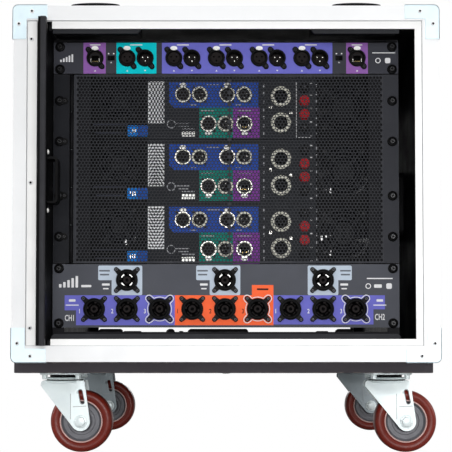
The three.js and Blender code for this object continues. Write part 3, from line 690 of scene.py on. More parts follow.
def stop_strips(name, at):
    """Dark strips behind the lip: two along the roof with a cut corner, and one along the floor."""
    shape = Shape()
    y0, y1 = FRONT + 8, FRONT + 11
    low, high = LIP_LOW - 1, LIP_HIGH + 9
    for side in (-1, 1):
        ends = [(side * 235, high), (side * 235, high - 14.5), (side * 120, high - 14.5),
                (side * 116, high - 10.5), (side * 116, high)]
        shape.prism(ends, [], y0, y1, "stop")
    shape.prism([(-235, low), (235, low), (235, low + 5), (231, low + 8), (-231, low + 8), (-235, low + 5)],
                [], y0, y1, "stop")
    return shape.piece(f"{name}_stop_strips", "case", "case_laminate", bevel=0.6, at=at)


ANGLE_LEG = 26.0


def edge_angles():
    """The extruded angles along the four long edges of the case, with their rows of rivets."""
    shape = Shape()
    middle_z = (LOW + HIGH) / 2
    half_z = (HIGH - LOW) / 2
    y0, y1 = FRONT + CAP_ARM + 0.3, REAR - CAP_ARM - 0.3
    for side_x in (-1, 1):
        for side_z in (-1, 1):
            arc = quarter(HALF - CORNER_R, half_z - CORNER_R, CORNER_R)
            inner = [(HALF - 1.6, half_z - ANGLE_LEG), (HALF - 1.6, half_z - 9), (HALF - 9, half_z - 1.6),
                     (HALF - ANGLE_LEG, half_z - 1.6)]
            outline = [(HALF - ANGLE_LEG, half_z), *arc, (HALF, half_z - ANGLE_LEG), *inner]
            shape.prism(outline, [], y0, y1, "aluminium",
                        matrix=move(0, 0, middle_z) @ Matrix.Diagonal((side_x, 1, side_z, 1)))
            count = 6
            for k in range(count):
                y = y0 + (y1 - y0) * (k + 0.5) / count
                rivet(shape,
                      move(side_x * HALF, y, middle_z + side_z * (half_z - 17)) @ spin(90 * side_x, "Z"))
                if side_z > 0:
                    rivet(shape, move(side_x * (HALF - 17), y, middle_z + half_z) @ spin(-90, "X"))
    return shape.piece("case_edge_angles", "case", "edge_aluminium", bevel=0.4)


def stacking_runner(side):
    """A domed rubber strip on the roof, ribbed across, that locates a case stacked on top."""
    name = f"{side}_stacking_runner"
    x0, x1, y0, y1, z0, z1 = node_box(name)
    middle, half = (x0 + x1) / 2, (x1 - x0) / 2
    y0, y1 = FRONT + 3, REAR - 3
    base, crown = z0 + 1.4, z1 + 0.6
    shape = Shape()

    def dome(low, high, share):
        arc = [(middle + half * share * math.cos(a), low + 1.2 + (high - low - 1.2) * math.sin(a))
               for a in (math.pi * k / 16 for k in range(17))]
        return [(middle - half * share, low), (middle + half * share, low), *arc]

    shape.prism(dome(base, crown, 1.0), [], y0, y1, "rubber")
    pitch, rib = 14.0, 6.0
    count = int((y1 - y0 - 2 * rib) // pitch)
    for k in range(count):
        y = (y0 + y1) / 2 + (k - (count - 1) / 2) * pitch
        shape.prism(dome(base, z1 + 1.2, 0.93), [], y - rib / 2, y + rib / 2, "rubber")
    return shape.piece(f"{side}_runner_strip", "case", "runner_rubber", bevel=0.4, replaces=[name])


# ---------------------------------------------------------------- side handles

DISH = node_box("right_handle_dish")
FLANGE_T = 1.2
HANDLE_Z = (DISH[4] + DISH[5]) / 2
DISH_REACH = (DISH[3], (DISH[5] - DISH[4]) / 2)  # half length and half height, with the flange
FLANGE = 12.0
BAIL_X, _, BAIL_Z = joint_point("right_handle_pivot")
BAIL_DROP = 58.0
ARM_Y = 62.0
BAIL_ROD = 4.0


def handle_dish(name, at):
    """A pressed recess with rounded corners, riveted through its flange.

    The plates are drawn with y running inwards from the wall, and then turned.
    """
    half_y, half_z = DISH_REACH
    face, back = -DISH[1], -DISH[0]
    z0, z1 = HANDLE_Z - half_z, HANDLE_Z + half_z
    outline = rectangle(-half_y, half_y, z0, z1, 7)
    mouth = rectangle(-half_y + FLANGE + 1.5, half_y - FLANGE - 1.5, z0 + FLANGE + 1.5, z1 - FLANGE - 1.5, 9)
    shell = rectangle(-half_y + FLANGE, half_y - FLANGE, z0 + FLANGE, z1 - FLANGE, 10.5)
    inwards = spin(90, "Z")
    shape = Shape()
    shape.prism(outline, [mouth], face, face + FLANGE_T, "zinc", matrix=inwards)
    bead = rectangle(-half_y + FLANGE - 2.2, half_y - FLANGE + 2.2, z0 + FLANGE - 2.2, z1 - FLANGE + 2.2, 12)
    shape.prism(bead, [mouth], face - 0.6, face + 0.5, "zinc", matrix=inwards)
    liner = rectangle(-half_y + FLANGE + 0.7, half_y - FLANGE - 0.7, z0 + FLANGE + 0.7, z1 - FLANGE - 0.7, 10)
    shape.prism(liner, [mouth], face + 0.4, back - 0.7, "zinc", matrix=inwards)
    shape.prism(liner, [], back - 1.5, back - 0.7, "zinc", matrix=inwards)
    shape.prism(shell, [liner], face + 0.4, back, "laminate", matrix=inwards)
    shape.prism(shell, [], back - 0.7, back, "laminate", matrix=inwards)
    for side in (-1, 1):
        shape.turned(rod(-3.2, 3.2, 7.5), 20, "zinc",
                     move(BAIL_X, side * (half_y - FLANGE - 4), BAIL_Z))
        for z in (z0 + 6, HANDLE_Z, z1 - 6):
            rivet(shape, move(-face, side * (half_y - 6), z) @ spin(90, "Z"))
        for y in (-half_y / 3, half_y / 3):
            rivet(shape, move(-face, y, HANDLE_Z + side * (half_z - 6)) @ spin(90, "Z"))
    return shape.piece(f"{name}_handle_recess", "case", "handle_zinc", bevel=0.3, at=at,
                       replaces=[f"{name}_handle_dish"])


def handle_bail(name, at):
    """A bent rod with a moulded grip, hung from its two ends."""
    bend = 7.0
    low = BAIL_Z - BAIL_DROP

    pin_y = DISH_REACH[0] - FLANGE - 1.8
    half = [(BAIL_X, -pin_y, BAIL_Z)]
    half += [(BAIL_X, -ARM_Y - bend + bend * math.sin(math.radians(a)),
              BAIL_Z - bend + bend * math.cos(math.radians(a)))
             for a in range(0, 91, 15)]
    half += [(BAIL_X, -ARM_Y + bend - bend * math.cos(math.radians(a)),
              low + bend - bend * math.sin(math.radians(a)))
             for a in range(0, 91, 15)]
    path = half + [(x, -y, z) for x, y, z in reversed(half)]
    shape = Shape()
    shape.tube(path, circle(0, 0, BAIL_ROD, 14), "zinc")
    grip_half, ridge = ARM_Y - bend - 3, 5.0
    profile = [(-grip_half, 0), (-grip_half, 5.2), (-grip_half + 1.5, 6)]
    steps = int((2 * grip_half - 6) // ridge)
    for k in range(steps):
        y = -grip_half + 3 + (2 * grip_half - 6) * k / steps
        profile += [(y, 6.2), (y + ridge * 0.3, 6.8), (y + ridge * 0.7, 6.8), (y + ridge * 0.95, 6.2)]
    profile += [(grip_half - 1.5, 6), (grip_half, 5.2), (grip_half, 0)]
    shape.turned(profile, 20, "grip", move(BAIL_X, 0, low))
    return shape.piece(f"{name}_handle_grip_bail", f"{name}_handle", "handle_zinc", at=at,
                       replaces=[f"{name}_handle_bail"])


# ---------------------------------------------------------------- pocket door pulls and rack fittings

PULL = node_box("front_door_pull")


def door_pull(name, at):
    """A riveted plate with a D-shaped grip, on the door's inner face."""
    x0, x1, y0, y1, z0, z1 = PULL
    middle_y, middle_z = (y0 + y1) / 2, (z0 + z1) / 2
    grip_z, wall, plate_t = 31.5, 3.5, 2.0
    shape = Shape()
    base = rectangle(-y1, -y0, z0, z1, 5)
    shape.prism(base, [], x0, x0 + plate_t, "pull", matrix=spin(-90, "Z"))
    outer = rectangle(x0 + 1, x1, middle_z - grip_z, middle_z + grip_z, 6, steps=6)
    inner = rectangle(x0 + plate_t, x1 - wall, middle_z - grip_z + wall, middle_z + grip_z - wall, 3, steps=4)
    shape.prism(outer, [inner], y0 + 2, y1 - 2, "pull")
    for side in (-1, 1):
        shape.turned([(-0.3, 0), (-0.3, 3.6), (-1.4, 3.1), (-2.2, 1.8), (-2.5, 0)], 16, "bright",
                     move(x0 + plate_t, middle_y, middle_z + side * 39.4) @ spin(90, "Z"))
    return shape.piece(f"{name}_pull_handle", f"{name}_pocket_door", "pull_black", bevel=0.7, at=at,
                       replaces=[f"{name}_door_pull"])


DOOR = node_box("front_pocket_door")


def door_trim(name, at):
    """A rounded black extrusion over the front edge of a pocket door."""
    x0, x1 = DOOR[1] - 4.6, DOOR[1] + 3.4
    y0, y1 = DOOR[2] - 0.8, DOOR[2] + 11
    z0, z1 = DOOR[4] + 0.3, DOOR[5] + 0.2
    shape = Shape()
    section = rectangle(x0, x1, -y1, -y0, 2.6, steps=5)
    shape.prism(section, [], z0, z1, "trim", matrix=spin(90, "X"))
    # The black bar along the trim's inner side is painted shade on that face
    shape.prism(rectangle(x1 - 1.6, x1 + 0.7, -y1 + 1.4, -y0 - 3.4, 0.6), [], z0 + 9, z1 - 9, "pull",
                matrix=spin(90, "X"))
    return shape.piece(f"{name}_door_edge_trim", f"{name}_pocket_door", "door_laminate", bevel=1.4, at=at)


BATTENS = ((-184, -145), (-87, -71), (-56.5, 34), (154, 183))


def floor_battens():
    """Black blocks with sloping ends on the case floor, under the lowest panel."""
    low, high = node_box("case_floor")[5] + 0.2, OUTPUT[4] - 1.5
    shape = Shape()
    for x0, x1 in BATTENS:
        outline = [(x0 - 5, low), (x1 + 2, low), (x1 - 3, high - 2), (x1 - 5, high), (x0 + 6, high),
                   (x0 + 3, high - 2)]
        for y in (-226, 150):
            shape.prism(outline, [], y, y + 16, "rubber")
    return shape.piece("case_floor_battens", "case", "case_laminate", bevel=0.8)


def caster_deck():
    """The painted board that carries the casters, with rounded ends and the heads of its bolts."""
    x0, x1, y0, y1, z0, z1 = node_box("caster_board")
    shape = Shape()
    shape.prism(rectangle(x0 - 6.0, x1 - 0.4, y0, y1, 16, steps=3), [], 0.1 - z1, -z0, "board",
                matrix=spin(-90, "X"))
    for x in (x0 + 60, (x0 + x1) / 2, x1 - 60):
        for y in (y0 + 34, y1 - 34):
            shape.turned([(-1.6, 0), (-1.6, 4.2), (-0.6, 6.6), (0.4, 6.6), (0.4, 0)], 18, "steel",
                         move(x, y, z0) @ spin(90, "X"))
    return shape.piece("caster_deck", "case", "board_paint", bevel=3.0, replaces=["caster_board"])


def shock_mounts():
    """Rubber bobbins with a waist, between the case floor and the rack frame."""
    shape = Shape()
    names = [f"shock_mount_{k}" for k in (1, 2, 3, 4)]
    for name in names:
        x0, x1, y0, y1, z0, z1 = node_box(name)
        foot = (x1 - x0) / 2
        profile = [(0, 0), (0, foot), (2.5, foot), (3.5, 15), (7, 12.5), (z1 - z0 - 4, 12.5),
                   (z1 - z0 - 2.5, 14, "steel"), (z1 - z0, 14), (z1 - z0, 0)]
        shape.turned(profile, 24, "rubber", move((x0 + x1) / 2, (y0 + y1) / 2, z0) @ spin(90, "X"))
    return shape.piece("shock_mount_bobbins", "case", "mount_rubber", replaces=names)


# ---------------------------------------------------------------- screws and connectors


def pan_screw(shape, x, z, y, radius=2.6, finish="black_screw", proud=1.6):
    """A pan-head screw whose crossed recess is two near-black bars of painted shade; its head stands from y
    towards -Y.
    """
    top = y - proud
    shape.turned([(y + 0.4, 0), (y + 0.4, radius), (y - proud * 0.45, radius), (top, radius * 0.72),
                  (top, 0)],
                 14, finish, move(x, 0, z))
    for turn in (20, 110):
        shape.brick(-radius * 0.55, radius * 0.55, -0.06, 0.3, -radius * 0.13, radius * 0.13, "hole",
                    move(x, top, z) @ spin(turn, "Y"))


def rack_screw(shape, x, z, y=PANEL_Y, wide=0.0):
    """A rack screw in a dished black washer; a wide one has a second lobe towards the middle."""
    cup = [(y + 0.2, 0), (y + 0.2, 6.9), (y - 1.6, 6.8), (y - 2.9, 6.0), (y - 3.1, 5.2), (y - 1.7, 4.4),
           (y - 1.7, 0)]
    shape.turned(cup, 24, "cup", move(x, 0, z))
    pan_screw(shape, x, z, y - 1.6, radius=4.1, proud=2.5)
    if wide:
        shape.prism(capsule(x, z, x + wide, z, 4.6), [], y - 2.2, y + 0.2, "cup")
        pan_screw(shape, x + wide, z, y - 2.2, radius=2.4, proud=1.0)


LINE_EARS = (math.degrees(math.atan2(12, -9.5)), math.degrees(math.atan2(-12, 9.5)))
LINE_EAR_REACH = math.hypot(12, 9.5)
LINE_R = 12.0
LINE_BACK = 24.0
LINE_CUP = 9.2


def line_flange(shape, x, z, y):
    shape.prism(eared(x, z, LINE_R, LINE_EAR_REACH, 3.9, LINE_EARS), [circle(x, z, LINE_CUP + 0.5, 28)],
                y - 2.0, y - 0.1, "plastic")
    for ear in LINE_EARS:
        pan_screw(shape, *around(x, z, LINE_EAR_REACH, math.radians(ear)), y - 1.9)


def line_shell(shape, x, z, y, depth, rim):
    """The round body of a line connector, with a cup of the depth given."""
    shape.turned([(y + LINE_BACK, 0), (y + LINE_BACK, LINE_R - 1.5), (y - 1.8, LINE_R - 0.4),
                  (y - 2.7, LINE_R - 0.8, rim), (y - 2.7, LINE_CUP + 0.5, rim),
                  (y - 2.1, LINE_CUP, "plastic"),
                  (y + depth, LINE_CUP - 0.3, "socket"), (y + depth, 0)], 28, "plastic", move(x, 0, z))


CONTACTS = ((-3.7, 1.6), (3.7, 1.6), (0.0, -3.9))


def line_female(shape, x, z, y, tab=1, rim="plastic"):
    """A line connector with three contact holes and a release tab above (1) or below (-1)."""
    line_shell(shape, x, z, y, 1.2, rim)
    holes = [circle(x + dx, z + tab * dz, 1.35, 12) for dx, dz in CONTACTS]
    shape.prism(circle(x, z, 7.6, 28), holes, y - 1.7, y + 1.3, "socket")
    # Near-black plugs a little way into the contact holes are painted shade
    for dx, dz in CONTACTS:
        shape.turned(rod(y + 0.6, y + 1.25, 1.3), 12, "hole",
                     move(x + dx, 0, z + tab * dz))
    release_tab(shape, x, z, y, tab)


def release_tab(shape, x, z, y, tab):
    shape.prism(oval(x, z + tab * 13.6, 4.9, 3.0), [], y - 3.0, y - 0.1, "tab")
    shape.prism(rectangle(x - 3.4, x + 3.4, z + tab * 12.0 - 0.35, z + tab * 12.0 + 0.35), [], y - 3.25,
                y - 2.9, "nickel")


def line_male(shape, x, z, y, turn=1, rim="plastic", depth=12.0):
    """A line connector with pins in an open cup."""
    line_shell(shape, x, z, y, depth, rim)
    for dx, dz in CONTACTS:
        shape.turned([(y + depth + 0.3, 0), (y + depth + 0.3, 1.25), (y + 1.0, 1.25), (y + 0.1, 0.8),
                      (y - 0.2, 0)],
                     12, "nickel", move(x + dx, 0, z + turn * dz))
    shape.brick(x - 1.1, x + 1.1, y - 1.0, y + depth - 2, z + turn * 8.0, z + turn * 9.3, "plastic")


def data_jack(shape, x, z, y, tab=1, rim="plastic"):
    """A data connector: a square jack with a bright shield in a round cup."""
    line_shell(shape, x, z, y, 11.5, rim)
    frame = rectangle(x - 6.2, x + 6.2, z - 5.6, z + 5.2, 0.8)
    mouth = rectangle(x - 5.2, x + 5.2, z - 4.6, z + 3.6)
    shape.prism(circle(x, z, LINE_CUP - 0.4, 28), [mouth], y + 0.4, y + 11.6, "socket")
    shape.prism(frame, [rectangle(x - 5.6, x + 5.6, z - 5.0, z + 4.4, 0.5)], y - 0.2, y + 0.6, "guard")
    for side in (-1, 1):
        shape.brick(x + side * 5.9 - 0.35, x + side * 5.9 + 0.35, y - 0.5, y + 0.4, z - 5.2, z - 0.6,
                    "nickel")
    # A near-black sheet at the back of the mouth is painted shade
    shape.brick(x - 5.2, x + 5.2, y + 10.4, y + 11.5, z - 4.6, z + 3.6, "hole")
    for k in range(8):
        contact = x - 3.6 + k * 1.03
        shape.brick(contact - 0.2, contact + 0.2, y + 2.0, y + 10.5, z - 4.5, z - 3.6, "gold")
    release_tab(shape, x, z, y, tab)


SPEAKER_EARS = (45, 135, 225, 315)
SPEAKER_REACH = 14.6 * math.sqrt(2)
SPEAKER_R = 15.2
SPEAKER_CUP = 10.2


def speaker_jack(shape, x, z, y, bright=False):
    """A locking loudspeaker connector: an annular socket round a keyed post, on a flange with four ears."""
    shape.prism(eared(x, z, SPEAKER_R, SPEAKER_REACH, 3.5, SPEAKER_EARS),
                [circle(x, z, SPEAKER_CUP + 0.6, 32)], y - 1.9, y - 0.1, "plastic")
    for ear in SPEAKER_EARS:
        pan_screw(shape, *around(x, z, SPEAKER_REACH, math.radians(ear)), y - 1.8, radius=2.2,
                  finish="ear_screw")
    # The cup's wall and the post's hole are near-black painted shade
    shape.turned([(y + 24, 0), (y + 24, 13), (y - 1.7, 14.6), (y - 2.8, 14.0), (y - 3.0, 12.9),
                  (y - 2.4, 12.4), (y - 2.4, 11.6), (y - 3.0, 11.2), (y - 2.7, SPEAKER_CUP, "hole"),
                  (y + 16, SPEAKER_CUP, "hole"),
                  (y + 16, 5.6, "socket"), (y - 0.4, 5.4, "socket"), (y - 0.9, 4.8, "socket"),
                  (y - 0.9, 2.4, "hole"), (y + 4, 2.2, "hole"), (y + 4, 0)], 36, "plastic", move(x, 0, z))
    for k in range(4):
        key = move(x, 0, z) @ spin(90 * k + 12, "Y")
        shape.brick(7.9, SPEAKER_CUP + 0.3, y - 1.2, y + 15, -1.5, 1.5, "socket", key)
        finish = "bright" if bright else "socket"
        near = y - 2.2 if bright else y + 6
        outer, inner = ([around(0, 0, radius, math.radians(28 + 6 * s)) for s in range(7)]
                        for radius in (8.9, 7.6))
        shape.prism(outer + inner[::-1], [], near, y + 15.5, finish, matrix=move(x, 0, z) @ spin(90 * k, "Y"))


# ---------------------------------------------------------------- panels

INPUT_Z = (INPUT[4] + INPUT[5]) / 2
JACKS = opening_centres("link_socket")
NETWORK = opening_centres("network_socket")
PAIR_PITCH = 25.2
FEMALE_X = [x - PAIR_PITCH for x, _ in JACKS]
SWITCH_X = (-161.0, 158.4)
PRINT_T = 0.15  # how far printing stands off a panel
PRINT_SINK = 0.1  # how far it reaches in


def printed(shape, outline, finish="print_white", y=PANEL_Y, holes=()):
    """A thin flat shape on a face at y that looks towards -Y."""
    shape.prism(outline, holes, y - PRINT_T, y + PRINT_SINK, finish)


def mark(shape, x, z, half_w, half_h, finish="print_white", y=PANEL_Y):
    """A small printed bar."""
    corner = min(half_w, half_h) * 0.5
    printed(shape, rectangle(x - half_w, x + half_w, z - half_h, z + half_h, corner, 3), finish, y)


def ring_mark(shape, x, z, radius, wall=1.2, sides=24, **look):
    printed(shape, circle(x, z, radius, sides), holes=[circle(x, z, radius - wall, sides)], **look)


def arrow(shape, x, z, size, way):
    printed(shape,
            [(x - size, z - way * size * 0.7), (x + size, z - way * size * 0.7), (x, z + way * size * 0.8)])


def level_mark(shape, x, z, size):
    """A plain row of rising bars."""
    for k in range(5):
        height = size * (0.3 + 0.7 * k / 4)
        left = x + k * size * 0.36
        printed(shape, rectangle(left, left + size * 0.22, z, z + height, size * 0.05, 3))


def panel_plate(box):
    return rectangle(-PANEL_HALF, PANEL_HALF, box[4], box[5], 0.8, 3)


def panel_screws(box, name):
    shape = Shape()
    for side in (-1, 1):
        for z in (box[4] + SCREW_INSET - UNIT_GAP, box[5] - SCREW_INSET + UNIT_GAP):
            rack_screw(shape, side * SCREW_X, z)
    return shape.piece(f"{name}_rack_screws", "case", "bolt_steel")


def input_panel():
    z0, z1 = INPUT[4], INPUT[5]
    zones = [(rectangle(a, b, z0, z1), finish) for a, b, finish in (
        (-199.9, -168.5, "purple"), (-153.6, -97.5, "cyan"), (-89.8, 149.1, "violet"),
                                                                    (168.4, 198.9, "purple"))]
    females = [(x, INPUT_Z) for x in FEMALE_X]
    holes = [circle(x, z, LINE_R - 0.6, 24) for x, z in (*JACKS, *NETWORK, *females)]
    plate = Shape()
    plate.prism(panel_plate(INPUT), holes, PANEL_Y, PANEL_Y + PANEL_T, "panel", zones)
    plate.piece("input_plate", "case", "panel_grey", replaces=["input_panel"])

    connectors = Shape()
    for places, make in ((NETWORK, data_jack), (females, line_female), (JACKS, line_male)):
        for x, z in places:
            line_flange(connectors, x, z, PANEL_Y)
            make(connectors, x, z, PANEL_Y)
    for x in SWITCH_X:
        # A near-black block in each switch's place is painted shade for its recess
        connectors.brick(x - 4.9, x + 4.9, PANEL_Y - 0.6, PANEL_Y + 8, INPUT_Z - 3.2, INPUT_Z + 3.2, "hole")
        connectors.brick(x - 3.8, x - 0.4, PANEL_Y - 1.9, PANEL_Y + 0.5, INPUT_Z - 2.2, INPUT_Z + 2.2,
                         "plastic")
    connectors.piece("input_connectors", "case", "panel_grey")

    marks = Shape()
    label_z, low_z = z1 - 3.1, z0 + 4.2
    for x in FEMALE_X:
        mark(marks, x + PAIR_PITCH / 2, label_z, 8.5, 0.8)
        arrow(marks, x, low_z, 1.5, 1)
        arrow(marks, x + PAIR_PITCH, low_z, 1.5, -1)
    for x, _ in NETWORK:
        mark(marks, x, label_z, 7.5, 0.8)
        arrow(marks, x, low_z, 1.5, 1)
    for x in SWITCH_X:
        for side in (-1, 1):
            mark(marks, x + side * 3.6, INPUT_Z + 6.4, 1.0, 0.9)
        arrow(marks, x, INPUT_Z - 6.0, 1.2, 1)
    level_mark(marks, -232.5, INPUT_Z - 5.5, 11.0)
    mark(marks, 221, INPUT_Z + 7.5, 16, 0.6)
    ring_mark(marks, 213.0, INPUT_Z - 3.4, 3.8)
    mark(marks, 226.6, INPUT_Z - 3.4, 3.8, 3.8)
    marks.piece("input_marks", "case", "panel_grey")
    panel_screws(INPUT, "input")


SINGLES = opening_centres("output_socket")
MULTIS = opening_centres("multi_output_socket")
LINED = (2, 5, 8)  # the connectors with a white line round them
LABEL_SIDES = (-1, -1, 1)  # which side of each larger connector its label is on
LABEL_HALF = 21.3
LABEL_LOW, LABEL_HIGH = 66.2, 86.6
ZONE_X = (-224.5, -208.6, -71.1, 36.1, 66.0, 205.0, 221.1)  # the coloured areas' edges, left to right


def output_zones():
    """Each printed area as (polygon, finish); heights are from the foot of the rack unit."""
    base = OUTPUT[4] - UNIT_GAP
    low, high = base + 3.6, base + 45.2
    a, b, c, d, e, f, g = ZONE_X
    zones = [
        ([(a, base + 24.3), (b, base + 24.3), (b, low), (c, low), (c, high), (a, high)], "violet"),
        ([(c, low), (e, low), (e, base + 59.5), (d, base + 59.5), (d, high), (c, high)], "orange"),
        ([(e, low + 1), (f, low + 1), (f, base + 25.7), (g, base + 25.7), (g, high), (e, high)], "violet"),
    ]
    for (x, _), tab in zip(MULTIS, LABEL_SIDES):
        side = x + tab * LABEL_HALF
        far = x + tab * 40.1
        zones.append((rectangle(x - LABEL_HALF, x + LABEL_HALF, base + 45.4, base + LABEL_HIGH, 2), "pale"))
        zones.append((rectangle(min(side, far), max(side, far), base + LABEL_LOW, base + LABEL_HIGH, 2),
                      "pale"))
        joint = sorted((side - tab * 4, side + tab * 3))  # squares off the corners between the two
        zones.append((rectangle(*joint, base + LABEL_LOW, base + LABEL_HIGH), "pale"))
    return zones


def output_panel():
    base = OUTPUT[4] - UNIT_GAP
    holes = [circle(x, z, SPEAKER_R - 1.2, 28) for x, z in SINGLES + MULTIS]
    plate = Shape()
    plate.prism(panel_plate(OUTPUT), holes, PANEL_Y, PANEL_Y + PANEL_T, "panel_low", output_zones())
    plate.piece("output_plate", "case", "panel_grey", replaces=["output_panel"])

    connectors = Shape()
    for x, z in SINGLES:
        speaker_jack(connectors, x, z, PANEL_Y)
    for x, z in MULTIS:
        speaker_jack(connectors, x, z, PANEL_Y, bright=True)
    connectors.piece("output_connectors", "case", "panel_grey")

    marks = Shape()
    for k, (x, z) in enumerate(SINGLES):
        middle = 3 <= k < 6
        letters(marks, str(k % 3 + 1), x - 20.4, base + 22.8, 6.2, "print_dark" if middle else "print_white",
                PANEL_Y)
        if k in LINED:
            printed(marks, eared(x, z, SPEAKER_R + 1.9, SPEAKER_REACH, 5.4, SPEAKER_EARS),
                    holes=[eared(x, z, SPEAKER_R + 0.9, SPEAKER_REACH, 4.3, SPEAKER_EARS)])
    for text, x, z in (("CH1", -217.3, 13.2), ("CH2", 214.0, 14.6)):
        letters(marks, text, x, base + z, 8.4, "print_white", PANEL_Y, squeeze=0.62)
    for side in (-1, 1):
        mark(marks, side * 214.0, base + 38.0, 4.6, 1.7)
        mark(marks, side * 214.0, base + 31.5, 9.0, 0.7)
    for (x, _), tab in zip(MULTIS, LABEL_SIDES):
        for line in range(2):
            mark(marks, x + tab * 31.2, base + 79.4 - 5.4 * line, 7.4 - line, 1.1, "print_grey")
        mark(marks, x + tab * 29.4, base + 60.2, 5.4, 1.5)
        mark(marks, x + tab * 29.4, base + 54.4, 3.8, 0.9)
    mark(marks, 51.0, base + 53.6, 8.0, 1.2, "print_dark")
    level_mark(marks, -232.5, base + 56.0, 16.0)
    mark(marks, -194.5, base + 58.0, 7.0, 1.6)
    mark(marks, 214.0, base + 68.6, 18.0, 0.8)
    ring_mark(marks, 198.0, base + 58.0, 3.9)
    mark(marks, 211.5, base + 58.0, 5.4, 2.4)
    mark(marks, 227.0, base + 58.0, 3.9, 3.9)
    marks.piece("output_marks", "case", "panel_grey")
    panel_screws(OUTPUT, "output")


# ---------------------------------------------------------------- grille door

HOLE_R = 2.1
HOLE_PITCH = 4.7625
GRILLE_T = 1.2
ROW_PITCH = HOLE_PITCH * math.sqrt(3) / 2
HOLE_SIDES = 8


def perforated(name, x_start, columns, rows):
    """A sheet of staggered round holes with straight edges, riding on the grille door."""
    px, pz = HOLE_PITCH / 2, ROW_PITCH / 2
    ring = [(HOLE_R * math.cos(a), HOLE_R * math.sin(a))
            for a in (2 * math.pi * (k + 0.5) / HOLE_SIDES for k in range(HOLE_SIDES))]
    edge = [(px, -pz), (px, pz), (0.0, pz), (-px, pz), (-px, -pz), (0.0, -pz)]
    # the ring is points 0 to 7, anticlockwise from just above +X, and the tile's edge is points 8 to 13
    tile = np.array(ring + edge)
    cover = np.array([(8, 9, 0), (8, 0, 7), (9, 1, 0), (9, 10, 1), (10, 2, 1), (10, 11, 2), (11, 3, 2),
                      (11, 12, 3), (12, 4, 3), (12, 5, 4), (12, 13, 5), (13, 6, 5), (13, 8, 6), (8, 7, 6)])
    half_tile = np.array([(0, -pz), (px, -pz), (px, pz), (0, pz)])
    half_cover = np.array([(0, 1, 2), (0, 2, 3)])
    points, triangles, count = [], [], 0
    middle_z = (GRILLE[4] + GRILLE[5]) / 2

    def put(shape_points, shape_triangles, x, z):
        nonlocal count
        points.append(shape_points + (x, z))
        triangles.append(shape_triangles + count)
        count += len(shape_points)

    for row in range(rows):
        z = middle_z + (row - (rows - 1) / 2) * ROW_PITCH
        shifted = row % 2
        for column in range(columns - shifted):
            put(tile, cover, x_start + (column + 0.5 + 0.5 * shifted) * HOLE_PITCH, z)
        if shifted:  # half tiles square off the ends of the shifted rows
            put(half_tile, half_cover, x_start, z)
            put(half_tile, half_cover, x_start + (columns - 0.5) * HOLE_PITCH, z)
    flat, number = np.unique(np.round(np.concatenate(points), 4), axis=0, return_inverse=True)
    kept = number.reshape(-1)[np.concatenate(triangles)]
    shape = Shape()
    shape.sheet(flat.tolist(), [tuple(t) for t in kept.tolist()], PANEL_Y, PANEL_Y + GRILLE_T, "grille")
    return shape.piece(name, "grille_door", "grille_grey")


GRILLE_SCREWS = [INPUT[4] - UNIT_GAP - drop for drop in (38.1, 95.25, 171.45, 228.6)]


def grille():
    columns, rows, x_start = 90, 63, -209.5
    perforated("grille_sheet_left", x_start, columns // 2, rows)
    perforated("grille_sheet_right", x_start + columns // 2 * HOLE_PITCH, columns // 2, rows)
    middle_z = (GRILLE[4] + GRILLE[5]) / 2
    half_z = rows * ROW_PITCH / 2
    window = rectangle(x_start, x_start + columns * HOLE_PITCH, middle_z - half_z, middle_z + half_z)
    pin_x, pin_y, _ = joint_point("grille_door_hinge")
    plate_x = pin_x + 3.2
    rim = Shape()
    rim.prism(rectangle(plate_x, PANEL_HALF, GRILLE[4], GRILLE[5]), [window], PANEL_Y, PANEL_Y + SHEET_T,
              "strip")
    leaf = Shape()
    # the leaf's darker paint is painted shade
    leaf.prism(rectangle(-PANEL_HALF, pin_x - 3.2, LEAF[4], LEAF[5]), [], PANEL_Y, PANEL_Y + SHEET_T, "leaf")
    knuckles = 5
    pitch = (GRILLE[5] - GRILLE[4]) / knuckles
    for k in range(knuckles):
        side, shape = (1, rim) if k % 2 else (-1, leaf)
        z0, z1 = GRILLE[4] + k * pitch + 0.25, GRILLE[4] + (k + 1) * pitch - 0.25
        barrel = [(z0, 1.2), (z0, 2.3), (z0 + 0.3, 2.5), (z1 - 0.3, 2.5), (z1, 2.3), (z1, 1.2), (z0, 1.2)]
        shape.turned(barrel, 16, "hinge", move(pin_x, pin_y) @ spin(90, "X"))
        x0, x1 = sorted((pin_x + side * 1.4, pin_x + side * 3.4))
        shape.brick(x0, x1, PANEL_Y + 0.2, PANEL_Y + SHEET_T - 0.1, z0, z1, "hinge")
    leaf.turned(rod(LEAF[4] + 1, LEAF[5] - 1, 0.9), 12, "steel",
                move(pin_x, pin_y) @ spin(90, "X"))
    rim.piece("grille_rim", "grille_door", "grille_grey", replaces=["grille_door"])
    leaf.piece("grille_leaf", "case", "grille_grey", replaces=["grille_hinge_leaf"])
    captive, fixed = Shape(), Shape()
    for z in GRILLE_SCREWS:
        rack_screw(captive, SCREW_X, z)
        rack_screw(fixed, -SCREW_X, z, wide=7.0)
    captive.piece("grille_captive_screws", "grille_door", "bolt_steel")
    fixed.piece("grille_leaf_screws", "case", "bolt_steel")


# ---------------------------------------------------------------- amplifiers

AMP_JACKS = (  # x, height, kind and the side of its release tab
    (-61.0, 63.5, "female", 1), (-37.3, 63.5, "male", 1), (1.7, 63.5, "female", 1), (25.7, 63.5, "male", 1),
    (-24.6, 21.8, "female", -1), (-0.7, 21.8, "male", -1), (26.0, 21.8, "data", -1))
AMP_SPEAKERS = ((77.7, 60.6), (77.7, 23.2))
AMP_POSTS = ((73.0, "plastic"), (53.8, "red"), (34.5, "red"), (15.5, "plastic"))
POST_X = 110.9
RING_R = 10.4
AMP_EAR_REACH = 13.2
AMP_WALL = 1.5
STRUT_Y = AMP_Y + 27  # the arm that holds a fan


